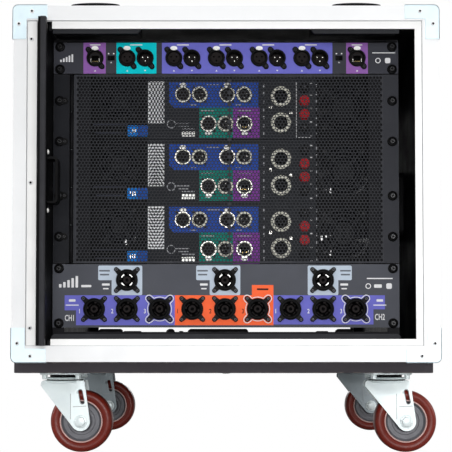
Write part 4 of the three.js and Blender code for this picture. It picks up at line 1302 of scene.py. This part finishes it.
def amp_zones(base):
    blue = [(-80.5, base + 52), (-73.5, base + 45.1), (45.9, base + 45.1), (45.9, base + 81.7),
            (-80.5, base + 81.7)]
    return [(blue, "blue"),
            (rectangle(-37.7, 9.9, base + 1.4, base + 45.1), "green"),
            (rectangle(9.9, 47.5, base + 1.4, base + 45.1), "plum"),
            (rectangle(-230, -111.5, base, base + 90), "chassis_dark"),
            (rectangle(127, 230, base, base + 90), "chassis_dark")]


def fan_guard(shape, x, z, radius):
    """Concentric wires on crossed arms, over a fan."""
    rings = 5
    y = AMP_Y - 0.2
    for k in range(rings):
        wire = radius * (k + 0.9) / rings
        shape.turned(washer(y - 1.4, y, wire - 0.75, wire + 0.75), 36, "guard", move(x, 0, z))
    for turn in (45, 135):
        shape.brick(-radius - 4, radius + 4, y, y + 1.3, -0.9, 0.9, "guard", move(x, 0, z) @ spin(turn, "Y"))
        for side in (-1, 1):
            corner = spin(turn, "Y") @ Vector((side * (radius + 3.4), 0, 0))
            pan_screw(shape, x + corner.x, z + corner.z, AMP_Y, radius=2.2, proud=1.4)


def binding_post(shape, z, finish):
    """A fluted binding post cap over its metal shank."""
    flutes = 12
    outline = []
    for k in range(flutes * 4):
        angle = 2 * math.pi * k / (flutes * 4)
        outline.append(around(POST_X, z, 6.6 + 0.5 * math.cos(flutes * angle), angle))
    shape.prism(outline, [circle(POST_X, z, 1.5, 12)], AMP_Y - 9.6, AMP_Y - 2.4, finish)
    shape.turned([(AMP_Y - 3, 0), (AMP_Y - 3, 7.4), (AMP_Y + 0.2, 7.6), (AMP_Y + 0.2, 0)], 24, finish,
                 move(POST_X, 0, z))
    shape.turned([(AMP_Y - 9.9, 0), (AMP_Y - 9.9, 1.1), (AMP_Y - 9.6, 1.4), (AMP_Y - 6, 1.4), (AMP_Y - 6, 0)],
                 14, "ear_screw", move(POST_X, 0, z))


def speaker_ring(shape, x, z):
    """An amplifier's loudspeaker jack: a pale locking ring round a black socket."""
    y = AMP_Y
    shape.turned([(y + 18, 0), (y + 18, 9.0), (y + 0.2, 13.4), (y - 1.6, 14.5, "cream"),
                  (y - 3.4, 14.3, "cream"),
                  (y - 4.0, 13.4, "cream"), (y - 4.0, 9.9, "cream"), (y - 3.4, 9.5), (y + 14, 9.2),
                  (y + 14, 5.0), (y - 1.5, 4.8), (y - 1.9, 4.2), (y - 1.9, 0)], 32, "plastic", move(x, 0, z))
    for k in range(8):
        shape.brick(10.2, 14.0, y - 4.2, y - 3.2, -0.4, 0.4, "print_grey",
                    move(x, 0, z) @ spin(45 * k + 22, "Y"))


def amp_rear(k, box):
    name = f"amp_{k}"
    base, top = box[4], box[5]
    fans = [(joint_point(f"{name}_{side}_fan_spin"), node_box(f"{name}_{side}_fan"))
            for side in ("left", "right")]
    fan_places = [(centre[0], centre[2], (rotor[1] - rotor[0]) / 2) for centre, rotor in fans]
    jack_holes = [circle(x, base + dz, LINE_CUP, 20) for x, dz, _, _ in AMP_JACKS]
    jack_holes += [circle(x, base + dz, 13, 24) for x, dz in AMP_SPEAKERS]
    fan_holes = [circle(x, z, tip + 1.5, 40) for x, z, tip in fan_places]
    half = box[1]
    outline = rectangle(-half, half, base, top, 0.8, 3)
    plate = Shape()
    plate.prism(outline, jack_holes + fan_holes, AMP_Y, AMP_Y + AMP_WALL, "chassis", amp_zones(base))
    hollow = rectangle(-half + SHEET_T, half - SHEET_T, base + SHEET_T, top - SHEET_T)
    plate.prism(outline, [hollow], AMP_Y + AMP_WALL, box[3], "chassis")
    for x, z, _ in fan_places:
        plate.brick(x - 3, x + 3, STRUT_Y, STRUT_Y + 2, base + 1, top - 1, "chassis")
        plate.turned(rod(AMP_Y + 5.2, STRUT_Y, 2), 14, "steel", move(x, 0, z))
    plate.piece(f"{name}_enclosure", "case", "chassis_grey", replaces=[f"{name}_chassis"])

    jacks = Shape()
    for x, dz, kind, tab in AMP_JACKS:
        z = base + dz
        if kind == "male":
            line_male(jacks, x, z, AMP_Y, turn=tab, rim="cream", depth=9)
            ring = washer(AMP_Y - 2.9, AMP_Y - 1.0, 8.3, RING_R, 0.3)
        else:
            make = line_female if kind == "female" else data_jack
            make(jacks, x, z, AMP_Y, tab=tab, rim="nickel")
            ring = washer(AMP_Y - 2.8, AMP_Y - 1.0, 9.1, RING_R, 0.2)
        jacks.turned(ring, 28, "cream", move(x, 0, z))
        for ear in LINE_EARS:
            pan_screw(jacks, *around(x, z, AMP_EAR_REACH, math.radians(ear)), AMP_Y, radius=2.0, proud=1.2)
    for x, dz in AMP_SPEAKERS:
        speaker_ring(jacks, x, base + dz)
    for dz, finish in AMP_POSTS:
        binding_post(jacks, base + dz, finish)
    for x, dz in ((62.9, 45.3), (91.8, 37.2)):
        pan_screw(jacks, x, base + dz, AMP_Y, radius=3.0, finish="nickel")
    inlet = rectangle(-138.9, -110.5, base + 3.5, base + 19.0, 1.5, 3)
    jacks.prism(inlet, [rectangle(-137.2, -125.6, base + 5.2, base + 17.3, 1)], AMP_Y - 4.8, AMP_Y + 0.2,
                "inlet", [(rectangle(-124.7, -110.6, base + 3.6, base + 18.9), "inlet_dark")])
    jacks.brick(-137.6, -125.2, AMP_Y - 2.0, AMP_Y + 0.4, base + 4.8, base + 17.7, "inlet")
    for x in (-134.6, -131.4, -128.2):
        jacks.brick(x - 0.5, x + 0.5, AMP_Y - 4.2, AMP_Y - 1.0, base + 8.5, base + 14.0, "nickel")
    for x in (-60.5, -55.7, -50.9, -46.1):
        jacks.brick(x - 1.9, x + 1.9, AMP_Y - 2.4, AMP_Y + 0.2, base + 3.6, base + 10.6, "bright")
    jacks.piece(f"{name}_rear_connectors", "case", "chassis_grey")

    vents = Shape()
    holes = [circle(-107.4 + column * 4.3 + 2.1 * (row % 2), base + 25.2 + row * 4.1, 1.5, 8)
             for row in range(14) for column in range(5)]
    vents.prism(rectangle(-110.2, -87.3, base + 22.1, base + 82.1, 1, 3), holes, AMP_Y - 1.2, AMP_Y - 0.1,
                "grid")
    for x, z, tip in fan_places:
        fan_guard(vents, x, z, tip)
    vents.piece(f"{name}_vent_covers", "case", "chassis_grey")

    marks = Shape()
    if k == 3:
        marks.brick(99.2, 100.2, AMP_Y - PRINT_T, AMP_Y + PRINT_SINK, base + 2.4, base + 81.3, "print_white")
        marks.brick(99.2, 120.8, AMP_Y - PRINT_T, AMP_Y + PRINT_SINK, base + 2.0, base + 3.0, "print_white")
    for row in range(7):
        mark(marks, 53.4, base + 8 + row * 11.4, 0.9, 2.4, "print_soft", AMP_Y)
        mark(marks, 128.0, base + 8 + row * 11.4, 0.7, 2.2, "print_soft", AMP_Y)
    for dz in (5, 24.6, 44.0, 63.0, 80.0):
        mark(marks, 120.5, base + dz, 1.5, 0.9, "print_white", AMP_Y)
    for x, dz, half_w in ((-18, 77.5, 9), (-26, 40.6, 9), (26, 40.6, 10), (-62, 22.6, 10), (-60, 18.4, 7),
                          (-53.3, 14.6, 9), (-46, 48.8, 4), (18, 48.8, 4)):
        mark(marks, x, base + dz, half_w, 0.7, "print_soft", AMP_Y)
    for dz, half_w in ((21, 24), (9, 20)):
        mark(marks, -164, base + dz, half_w, 1.0, "faint", AMP_Y)
    ring_mark(marks, -77.5, base + 21.6, 6.2, wall=1.3, sides=28, finish="print_soft", y=AMP_Y)
    marks.piece(f"{name}_rear_marks", "case", "chassis_grey")


def fan(name, side):
    """A rotor: a domed hub with curved, twisted blades, turning about the fan's own axis."""
    node = f"{name}_{side}_fan"
    x0, x1, y0, y1, _, _ = node_box(node)
    x, _, z = joint_point(f"{node}_spin")
    tip = (x1 - x0) / 2
    hub = tip * 0.47
    depth = y1 - y0
    place = move(x, y0, z)
    shape = Shape()
    shape.turned([(1.6, 0), (0.4, hub * 0.45), (0.0, hub * 0.8), (0.9, hub * 0.97), (2.4, hub),
                  (depth - 1, hub), (depth, hub - 1), (depth, 2.8), (3.2, 2.8), (3.2, 0)], 36, "fan", place)
    blades, spans, chords = 7, 6, 6
    for k in range(blades):
        faces_of = []
        for lift in (-0.55, 0.55):
            grid = []
            for i in range(spans + 1):
                share = i / spans
                radius = hub - 0.6 + (tip - hub + 0.4) * share
                sweep = 0.75 - 0.12 * share
                for j in range(chords + 1):
                    along = j / chords - 0.5
                    angle = 2 * math.pi * k / blades + along * sweep + 0.2 * share
                    rise = depth * (0.5 - along * 0.74) - 2.2 * math.cos(math.pi * along)
                    grid.append((radius * math.cos(angle), rise + lift, radius * math.sin(angle)))
            faces_of.append(grid)
        under, over = faces_of
        row = chords + 1
        count = len(under)
        faces = []
        for i in range(spans):
            for j in range(chords):
                a = i * row + j
                faces.append((a, a + 1, a + row + 1, a + row))
                faces.append((count + a, count + a + row, count + a + row + 1, count + a + 1))
        rim = list(range(row)) + [i * row + chords for i in range(1, spans + 1)]
        rim += [spans * row + j
                for j in range(chords - 1, -1, -1)] + [i * row for i in range(spans - 1, 0, -1)]
        for a, b in zip(rim, rim[1:] + rim[:1]):
            faces.append((a, b, count + b, count + a))
        shape.add(under + over, faces, "fan", place)
    return shape.piece(f"{node}_rotor", node, "fan_plastic", replaces=[node])


BOARD_TOP = 9.6
COIL = (-120, 40)
FIN_T = 1.6
SMALL_PARTS = 40


def power_module(name):
    """The amplifier's circuit board with its heat sink, transformer, capacitors and small parts."""
    node = f"{name}_power_module"
    base = node_box(f"{name}_chassis")[4]
    shape = Shape()
    shape.prism(rectangle(-185, 190, -185, 150, 4), [], 8.0, BOARD_TOP, "board_green",
                matrix=move(0, 0, base) @ spin(90, "X")
                @ Matrix.Diagonal((1, 1, -1, 1)))
    shape.brick(20, 120, -150, 110, base + BOARD_TOP, base + 16, "sink")
    fins = 12
    for k in range(fins):
        x = 21.5 + k * (97 - FIN_T) / (fins - 1)
        shape.brick(x, x + FIN_T, -149, 109, base + 15.5, base + 70, "sink")
    coil = [(BOARD_TOP + 26 - 25 * math.cos(a), 30 + 16 * math.sin(a))
            for a in (2 * math.pi * s / 20 for s in range(21))]
    coil[-1] = coil[0]
    shape.turned(coil, 40, "copper", move(*COIL, base) @ spin(90, "X"))
    shape.turned([(BOARD_TOP, 0), (BOARD_TOP, 12), (58, 12), (62, 20), (63, 20), (63, 0)], 28, "steel",
                 move(*COIL, base) @ spin(90, "X"))
    for y in (-70, -20, 30):
        shape.turned([(BOARD_TOP, 0), (BOARD_TOP, 15.6), (11, 16), (55, 16), (57, 15, "sink"),
                      (57.6, 12, "sink"), (57.2, 0)], 28,
                     "sleeve", move(-40, y, base) @ spin(90, "X"))
    pick = random.Random(7)  # the same small parts on every run
    for _ in range(SMALL_PARTS):
        x, y = pick.uniform(-170, 10), pick.uniform(-170, -110)
        high = pick.uniform(2, 9)
        shape.brick(x, x + pick.uniform(3, 12), y, y + pick.uniform(3, 10), base + BOARD_TOP,
                    base + BOARD_TOP + high, pick.choice(("plastic", "sleeve", "cream")))
    return shape.piece(f"{name}_power_board", "case", "circuit_board", replaces=[node])


FASCIA = node_box("amp_1_fascia")
GRIP_PROUD = 34.0
FASCIA_FACE = -(FASCIA[3] - GRIP_PROUD)  # the plates' faces, in the frame turned half a turn
BEZEL_HALF = 78.0
WINDOW_HALF = 40.0
SLOT_START, SLOT_PITCH = 94, 7.6
GRIP_X = 212.0


def fascia(k):
    """The operating side, made in the frame turned half a turn, so that it faces local -Y."""
    name = f"amp_{k}"
    base, top = node_box(f"{name}_fascia")[4:]
    face = FASCIA_FACE
    button = node_box(f"{name}_power_button")
    button_x, button_z = -(button[0] + button[1]) / 2, (button[4] + button[5]) / 2
    middle = (base + top) / 2
    slots = []
    for side in (-1, 1):
        for column in range(13):
            x = side * (SLOT_START + column * SLOT_PITCH)
            for low, high in ((base + 50, top - 10), (base + 30, base + 45)):
                if low < base + 46 or abs(x) < 196:
                    slots.append(capsule(x, low, x, high, 1.7, 4))
    window = rectangle(-WINDOW_HALF, WINDOW_HALF, base + 22, top - 22, 2, 3)
    plate = Shape()
    plate.prism(rectangle(-PANEL_HALF, PANEL_HALF, base, top, 1, 3),
                [circle(button_x, button_z, 7.4, 24), *slots], face, face + PANEL_T, "fascia")
    bezel = rectangle(-BEZEL_HALF, BEZEL_HALF, base + 8, top - 8, 6, 6)
    inset = rectangle(-BEZEL_HALF + 5, BEZEL_HALF - 5, base + 13, top - 13, 3, 4)
    plate.prism(bezel, [inset], face - 6, face + 0.3, "bezel")
    plate.prism(inset, [window], face - 4.6, face + 0.3, "bezel")
    plate.piece(f"{name}_front_plate", "case", "fascia_black", bevel=0.5, at=TURNED,
                replaces=[f"{name}_fascia"])

    details = Shape()
    details.prism(rectangle(-WINDOW_HALF - 0.4, WINDOW_HALF + 0.4, base + 21.6, top - 21.6, 2, 3), [],
                  face - 3.2, face - 0.5, "screen")
    for channel in (-1, 1):
        for step in range(9):
            x = channel * (9 + step * 3.2)
            height = 2.2 + 1.4 * ((step * 5 + k) % 4)
            details.brick(x - 1.1, x + 1.1, face - 3.35, face - 3.1, middle - 9, middle - 9 + height, "lit")
        details.brick(channel * 20 - 14, channel * 20 + 14, face - 3.35, face - 3.1, middle + 6.5,
                      middle + 7.4, "lit")
        dial = move(channel * 60, 0, middle)
        ridges = 24
        outline = [((8.5 + 0.35 * math.cos(ridges * a)) * math.cos(a),
                    (8.5 + 0.35 * math.cos(ridges * a)) * math.sin(a))
                   for a in (2 * math.pi * s / (ridges * 4) for s in range(ridges * 4))]
        details.prism(outline, [], face - 15, face - 5, "plastic", matrix=dial)
        details.turned([(face - 15.2, 0), (face - 15.8, 5), (face - 15.6, 7.4), (face - 14.8, 8.2),
                        (face - 14.8, 0)], 36,
                       "dial", dial)
        details.brick(-0.5, 0.5, face - 16.0, face - 15.0, 3.2, 7.4, "print_white",
                      dial @ spin(-40 * channel, "Y"))
        for tick in range(11):
            at = dial @ spin(-135 + 27 * tick, "Y")
            details.brick(-0.3, 0.3, face - 4.75, face - 4.5, 10.4, 12.2, "print_soft", at)
        for step in range(4):
            details.turned([(face - 5.4, 0), (face - 5.2, 1.0), (face - 4.4, 1.3), (face - 4.4, 0)], 12,
                           "lit" if step == 0 else "button", move(channel * (46 + step * 6), 0, base + 17))
    for side in (-1, 1):
        for z in (base + SCREW_INSET, top - SCREW_INSET):
            rack_screw(details, side * SCREW_X, z, face)
    details.turned(washer(face - 1.4, face + 0.1, 7.5, 9.4, 0.6), 32, "steel", move(button_x, 0, button_z))
    letters(details, str(k), -194, top - 17, 7.0, "print_white", face)
    details.piece(f"{name}_front_details", "case", "fascia_black", at=TURNED)

    grips = Shape()
    low, high, reach, bend = base + 38, top - 10, 29.6, 7.0
    for side in (-1, 1):
        x = side * GRIP_X
        bends = [(x, face - reach + bend - bend * math.sin(a), low + bend - bend * math.cos(a))
                 for a in (math.radians(15 * s) for s in range(7))]
        path = [(x, face + 0.3, low), *bends, *[(px, py, low + high - pz) for px, py, pz in reversed(bends)],
                (x, face + 0.3, high)]
        grips.tube(path, circle(0, 0, 4.2, 16), "grip_metal")
        for z in (low, high):
            grips.turned([(face - 2.2, 4.1), (face - 2.2, 6.0), (face - 1.4, 6.8), (face + 0.1, 6.8),
                          (face + 0.1, 4.1), (face - 2.2, 4.1)], 24, "grip_metal", move(x, 0, z))
    grips.piece(f"{name}_front_grips", "case", "fascia_black", at=TURNED)


def power_button(name):
    """A round push button with a dished cap and a lit ring."""
    node = f"{name}_power_button"
    x0, x1, y0, y1, z0, z1 = node_box(node)
    collar = (x1 - x0) / 2
    cap = collar - 2
    shape = Shape()
    shape.turned([(-y0, 0), (-y0, collar), (-y0 - 3.5, collar), (-y0 - 3.7, cap), (-y1 + 0.8, cap, "lit"),
                  (-y1 + 0.2, cap - 0.5, "lit"), (-y1, cap - 1.3), (-y1 + 0.2, cap - 2),
                  (-y1 + 0.9, cap - 4.5),
                  (-y1 + 1.1, 0)], 36, "button", move(-(x0 + x1) / 2, 0, (z0 + z1) / 2))
    return shape.piece(f"{name}_power_cap", node, "button_plastic", at=TURNED, replaces=[node])


# ---------------------------------------------------------------- casters

CORNERS = ("front_left", "front_right", "rear_left", "rear_right")


def wheel(corner):
    """A dished core with a long hub, and a crowned tread moulded round it with a pale bead between."""
    x, y, z = joint_point(f"{corner}_wheel_spin")
    side = [(*point, "core") for point in (
        (17.8, 5.6), (17.8, 11.6), (16.9, 12.6), (10.2, 14.2), (8.6, 15.8), (8.6, 19), (9.4, 20), (9.4, 25.6),
        (11.4, 27.6))]
    side += [(13.6, 28.6, "ring"), (14.3, 29.3, "ring")]
    side += [(*point, "tread") for point in (
        (14.2, 30.5), (13.8, 31.2), (15.2, 33.6), (16.0, 37.0), (15.7, 39.6), (14.5, 41.8), (12.4, 43.3),
                                             (9.4, 44.1),
        (4.0, 44.4))]
    other = []
    for (along, radius, _), (_, _, before) in zip(side[::-1], side[-2::-1] + side[:1]):
        other.append((-along, radius, before))
    shape = Shape()
    shape.turned([*side, *other, side[0]], 72, "core", move(x, y, z))
    return shape.piece(f"{corner}_caster_tyre", f"{corner}_wheel", "wheel_polyurethane",
                       replaces=[f"{corner}_caster_wheel"])


def caster_middle(corner):
    x0, x1, y0, y1, _, top = node_box(f"{corner}_caster_plate")
    return (x0 + x1) / 2, (y0 + y1) / 2, top


def caster_mount(corner):
    """The fixed half of a caster: its plate, the bolts' heads, the ball race and the kingpin."""
    x, y, top = caster_middle(corner)
    # on rear casters this zinc is darker: painted shade under the case
    zinc = caster_zinc(corner)
    shape = Shape()
    bolts = [(side_x * 23.4, side_y * 36.5) for side_x in (-1, 1) for side_y in (-1, 1)]
    plate = rectangle(-30, 30, -46, 46, 7, steps=5)
    shape.prism(plate, [], -top, -top + 3.8, zinc, matrix=move(x, y) @ spin(-90, "X"))
    for dx, dy in bolts:
        shape.turned([(top - 10.6, 0), (top - 10.6, 3.3), (top - 9.9, 4.1), (top - 4.4, 4.1),
                      (top - 4.4, 6.2),
                      (top - 3.4, 6.2), (top - 3.4, 0)], 6, zinc, move(x + dx, y + dy) @ spin(90, "X"))
    # The near-black groove in the race is painted shade in the swivel's gap
    race = [(top - 3.6, 0), (top - 3.6, 25), (top - 4.6, 26, "hinge"), (top - 5.6, 21.5, "hinge"),
            (top - 8.4, 21.5),
            (top - 8.9, 27.0), (top - 10.4, 28.6), (top - 11.3, 28.2), (top - 11.3, 12, "steel"),
            (top - 14, 5, "steel"), (94, 5, "steel"), (94, 0)]
    shape.turned(race, 40, zinc, move(x, y) @ spin(90, "X"))
    return shape.piece(f"{corner}_caster_mount", "case", "caster_zinc", bevel=0.3,
                       replaces=[f"{corner}_caster_plate"])


# Rear casters take the darker zinc, which is painted shade under the case; front casters take bright zinc
def caster_zinc(corner):
    return "zinc" if corner.startswith("front") else "dull_zinc"


LEG_FACE, LEG_BACK = 21.5, 18.5
CROWN_TOP = 102.6
CREASE = 10.8  # where the leg's face folds, from the kingpin


def caster_fork(corner):
    """A pressed fork: two slotted legs that flare into a round crown and fold in at their leading edge."""
    x, y, _ = caster_middle(corner)
    axle_x, _, axle_z = joint_point(f"{corner}_wheel_spin")
    trail = axle_x - x
    # on rear casters this zinc is darker: painted shade under the case
    zinc = caster_zinc(corner)
    top, low = CROWN_TOP, axle_z - 14
    ear = [around(trail, axle_z, 13.4, math.pi * (1.19 + 0.84 * k / 16)) for k in range(17)]
    outline = [(-29.0, top), (-31.6, top - 1.2), (-32.8, top - 4), (-32.8, 95.0), *ear, (30.3, top)]
    window = (24.6, 87.4, 27.6, 72.2)
    slot = capsule(*window, 2.8)
    pin = circle(trail, axle_z, 5.6, 20)
    # these cells only cut the leg into small faces, so that press() can bend it smoothly
    columns = [rectangle(CREASE + step, CREASE + step + 5.2, low, top + 2)
               for step in (-36.4, -26, -15.6, -5.2, 0.8, 11)]
    bands = [rectangle(-32, 41, z, z + 5) for z in (52, 62, 72, 82, 92)]
    shape = Shape()

    def press(px, py, pz):
        fold = max(0.0, CREASE - px)
        flare = min(1.0, max(0.0, (pz - 84) / 17))
        bulge = 3.0 * flare * flare * (3 - 2 * flare) * max(0.0, 1 - (px / 27) ** 2)
        return px, py + 0.11 * fold + 2.4 * (fold / 41) ** 2 - bulge, pz

    for side in (1, -1):
        leg = Shape()
        leg.prism(outline, [slot, pin], -LEG_FACE, -LEG_BACK, zinc,
                  [(cell, zinc) for cell in columns + bands])
        leg.points = [press(*point) for point in leg.points]
        # These grey lines along the crease, across the leg and round the slot are painted shade
        for line in (capsule(14.5, 65.6, 33.2, 66.6, 0.4, 3), capsule(CREASE, 48, CREASE, 84, 0.4, 3)):
            leg.prism(line, [], -LEG_FACE - 0.2, -LEG_FACE + 0.4, "seam")
        leg.prism(capsule(*window, 3.5), [slot], -LEG_FACE - 0.3, -LEG_FACE + 0.6, "seam")
        shape.add(leg.points, leg.faces, leg.face_finish, Matrix.Diagonal((1, side, 1, 1)))
    # The crown's near-black top is painted shade in the swivel's gap
    crown = [(99.2, 8), (99.2, 28.6), (100.2, 30.0), (101.6, 30.2), (CROWN_TOP, 29.2),
             (CROWN_TOP + 0.1, 26.2, "hole"), (104.3, 25.6, "hole"), (104.3, 8, "hole"), (99.2, 8)]
    shape.turned(crown, 40, zinc, spin(90, "X"))
    return shape.piece(f"{corner}_caster_yoke", f"{corner}_swivel", "caster_zinc", smooth=28, bevel=0.4,
                       at=HOME @ move(x, y), replaces=[f"{corner}_caster_fork"])


def caster_axle(corner):
    """The axle bolt, with a chamfered head on a round flange and a lock nut with a collar."""
    x, y, z = joint_point(f"{corner}_wheel_spin")
    face = LEG_FACE + 0.4
    shape = Shape()
    place = move(x, y, z)
    shape.turned([(-face - 1.4, 0), (-face - 1.4, 8.2), (-face - 0.9, 9.3), (-face, 9.3), (-face, 5),
                  (face + 9, 5), (face + 9, 0)], 32, "zinc", place)
    shape.turned([(-face - 5.6, 0), (-face - 5.6, 6.2), (-face - 5.2, 7.2), (-face - 4.4, 7.9),
                  (-face - 1, 7.9), (-face - 1, 0)], 6, "zinc", place @ spin(12, "Y"))
    shape.turned([(face, 0), (face, 8.8), (face + 5, 8.8), (face + 5.8, 7.6), (face + 5.8, 0)], 6, "zinc",
                 place)
    shape.turned([(face + 5, 0), (face + 5, 6.9), (face + 7.4, 6.6), (face + 8, 5.4), (face + 8, 0)], 24,
                 "zinc", place)
    return shape.piece(f"{corner}_caster_bolt", f"{corner}_swivel", "bolt_steel", bevel=0.25,
                       replaces=[f"{corner}_caster_axle"])


# ---------------------------------------------------------------- making it

for name, at in (("front", HOME), ("rear", TURNED)):
    stop_strips(name, at)
    door_trim(name, at)
    edge_frame(name, at)
    corner_caps(name, at)
    door_pull(name, at)
    # the doors' darker laminate is partly painted shade
    paint(f"{name}_pocket_door", "door", 1.8)
edge_angles()
for name, at in (("right", HOME), ("left", TURNED)):
    stacking_runner(name)
    handle_dish(name, at)
    handle_bail(name, at)
    paint(f"case_{name}_wall", "laminate", 0.3)
shock_mounts()
paint("case_floor", "laminate", 0.3)
paint("case_roof", "laminate", 0.3)
caster_deck()
floor_battens()
paint("rack_frame", "black_steel", 0.4)
input_panel()
output_panel()
grille()
for k, box in enumerate(AMPS, 1):
    amp_rear(k, box)
    fascia(k)
    power_module(f"amp_{k}")
    power_button(f"amp_{k}")
    for side in ("left", "right"):
        fan(f"amp_{k}", side)
for corner in CORNERS:
    wheel(corner)
    caster_mount(corner)
    caster_fork(corner)
    caster_axle(corner)

# ---------------------------------------------------------------- floor, camera and light

CAMERA_AWAY = 1.839  # metres in front of the origin
CAMERA_HIGH = 0.160
CAMERA_TILT = 2.0  # degrees up
LENS = 90.44
SENSOR = 36.0
HORIZON = 0.2530  # how far the horizon sits below the picture's middle, in widths
SKY = 0.4
AIM = (0, 0, 0.35)  # what the softboxes look at
SOFTBOXES = (  # name, place, width, height and watts
    ("front_softbox", (0.2, -2.9, 0.45), 1.4, 0.8, 39),
    ("top_softbox", (0, -0.6, 3.2), 2.4, 2.4, 44),
    ("rear_softbox", (0, 3.2, 1.2), 2.0, 1.4, 44),
    ("side_softbox", (-3.2, -0.6, 1.2), 2.0, 1.4, 36),
    ("side_softbox", (3.2, -0.6, 1.2), 2.0, 1.4, 36))
STUDIO_HALF = 9.0  # half the floor's width


def white_light(name, strength):
    """A plain even glow, for what stands behind the object."""
    graph = Graph(name)
    graph.shader.inputs["Base Color"].default_value = (0, 0, 0, 1)
    graph.shader.inputs["Specular IOR Level"].default_value = 0
    graph.shader.inputs["Emission Color"].default_value = (1, 1, 1, 1)
    graph.shader.inputs["Emission Strength"].default_value = strength
    return graph.material


def seen_only(item):
    """Shows an object to the camera without letting it light or shade anything."""
    for flag in ("diffuse", "glossy", "transmission", "volume_scatter", "shadow"):
        setattr(item, f"visible_{flag}", False)


def staged(name, mesh, finish):
    mesh.materials.append(finish)
    made = put_in(name, mesh)
    return made


def floor():
    """A pale floor that takes the light, under a white sweep that is only seen."""
    size, height = STUDIO_HALF, -0.0015
    mesh = bpy.data.meshes.new("studio_floor")
    corners = [(-size, -size, height), (size, -size, height), (size, size, height), (-size, size, height)]
    mesh.from_pydata(corners, [], [(0, 1, 2, 3)])
    pale = surface("pale_floor", (0.42, 0.42, 0.42), 0.8, drift=0.01, drift_size=0.6)
    staged("studio_floor", mesh, pale).visible_camera = False
    work = bmesh.new()
    bmesh.ops.create_icosphere(work, subdivisions=4, radius=size * 1.3)
    mesh = bpy.data.meshes.new("white_backdrop")
    work.to_mesh(mesh)
    work.free()
    seen_only(staged("white_backdrop", mesh, white_light("white_sweep", 1.0)))


def camera():
    data = bpy.data.cameras.new("camera")
    data.lens, data.sensor_width = LENS, SENSOR
    data.clip_start, data.clip_end = 0.05, 60
    data.shift_y = HORIZON - math.tan(math.radians(CAMERA_TILT)) * LENS / SENSOR
    made = put_in("camera", data)
    made.location = (MIDDLE * MM, -CAMERA_AWAY, CAMERA_HIGH)
    made.rotation_euler = (math.radians(90 + CAMERA_TILT), 0, 0)
    bpy.context.scene.camera = made


def softbox(name, place, width, height, watts):
    data = bpy.data.lights.new(name, "AREA")
    data.shape = "RECTANGLE"
    data.size, data.size_y, data.energy = width, height, watts
    made = put_in(name, data)
    made.location = place
    made.rotation_euler = (Vector(AIM) - Vector(place)).to_track_quat("-Z", "Y").to_euler()


def studio():
    world = bpy.data.worlds.new("studio")
    world.use_nodes = True
    backdrop = world.node_tree.nodes["Background"]
    backdrop.inputs["Color"].default_value = (1, 1, 1, 1)
    backdrop.inputs["Strength"].default_value = SKY
    bpy.context.scene.world = world
    for light in SOFTBOXES:
        softbox(*light)
    bpy.context.scene.view_settings.view_transform = "Standard"


floor()
camera()
studio()
